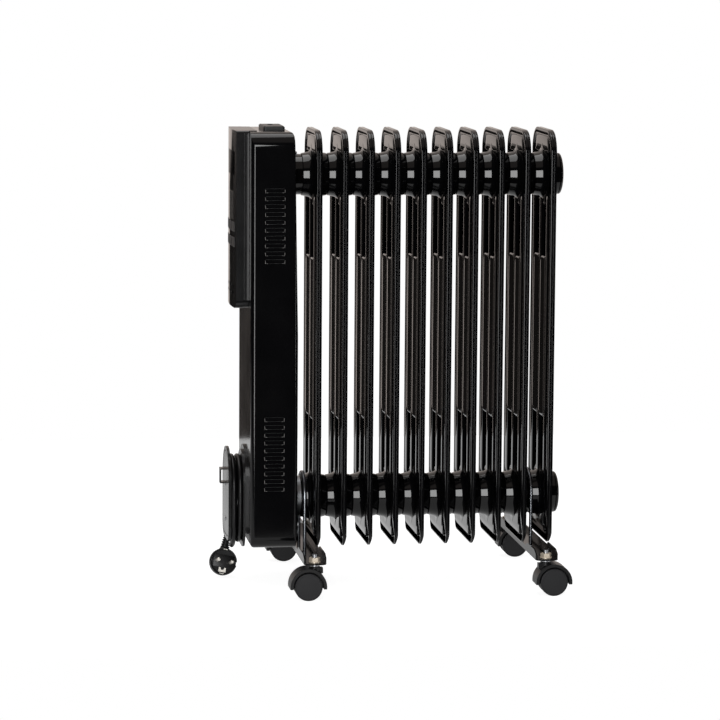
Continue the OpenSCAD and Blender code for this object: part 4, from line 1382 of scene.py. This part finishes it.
@dataclass
class Winder:
    """Plates and hub that the lead is wound on."""

    def build(self) -> None:
        """Builds the winder's pieces."""
        refine("winder_base", "winder_hub", 0.6, 2, WINDER_PP, "winder_plastic")
        refine("winder_plate", "winder_front", 0.8, 3, WINDER_PP, "winder_plastic")


# ---------------------------------------------------------------- feet and casters


@dataclass
class Feet:
    """Foot rails, U-bolts and the screwed parts on them."""

    def build(self) -> None:
        """Builds the feet."""
        refine("bracket_front", "foot_rail_front", 0.7, 3, RAIL_COAT, "bracket_paint")
        refine("bracket_rear", "foot_rail_rear", 0.7, 3, RAIL_COAT, "bracket_paint")
        refine("stem_nuts", "stem_hex_nuts", 0.5, 2, YELLOW_ZINC, "nut_yellow")
        refine("u_bolt_nuts", "wire_bow_nuts", 0.4, 2, ZINC_WIRE, "screw_zinc")
        dress("u_bolts", ZINC_WIRE)
        dress("caster_stems", STEEL)


@dataclass
class Caster:
    """One twin-wheel hooded caster."""

    number: int
    wheel_x: float
    stem_y: float
    wheel_r: float = 19.0
    inner: float = 6.4
    outer: float = 14.9

    def wheels(self) -> Solid:
        """Both wheels of the caster, with rounded treads and dished discs.

        Returns:
            One piece with both wheels.
        """
        r = self.wheel_r
        inner, outer = self.inner, self.outer
        profile = [(3.0, inner + 0.6), (r - 4.0, inner + 0.6), (r - 1.6, inner), (r - 0.5, inner + 0.4),
                   (r, inner + 1.3), (r, outer - 1.3), (r - 0.4, outer - 0.4), (r - 1.2, outer),
                   (r - 1.9, outer), (r - 2.3, outer - 0.45), (r - 3.0, outer - 0.5),
                   (r - 6.0, outer - 0.35), (6.0, outer - 0.25), (1.0, outer - 0.25)]
        pair = []
        for side in (-1, 1):
            pair.append(turned(profile, at(self.wheel_x, self.stem_y, r), Vector((0, side, 0)), 64))
        return settle(join(pair), f"caster_{self.number}_wheel_pair", 40)

    def build(self) -> None:
        """Builds the caster's pieces."""
        body = f"caster_{self.number}"
        refine(f"hood_{self.number}", f"{body}_hood_shell", 0.7, 3, HOOD_PA, "hood_plastic", body)
        fit(self.wheels(), WHEEL_PA, "wheel_plastic", f"wheelset_{self.number}", f"wheels_{self.number}")
        dress(f"axle_{self.number}", STEEL)


def main() -> None:
    """Builds the heater piece by piece."""
    logging.basicConfig(level=logging.INFO, format="%(name)s: %(message)s")
    clear_selection()
    Studio().build()
    MainsLead().build()
    FinStack().build()
    Tower().build()
    ControlPanel().build()
    Winder().build()
    Feet().build()
    # the casters' stems, and how far a wheel's axle stands from its stem, away from the middle
    stems = [(X1 - 14.0, -1), (X10 - 19.0, 1)]
    stem_y = 145.0
    trail = 9.5
    number = 1
    for stem_x, way in stems:
        for side in (-stem_y, stem_y):
            Caster(number, stem_x + way * trail, side).build()
            number += 1
    clear_selection()


if __name__ == "__main__":
    main()
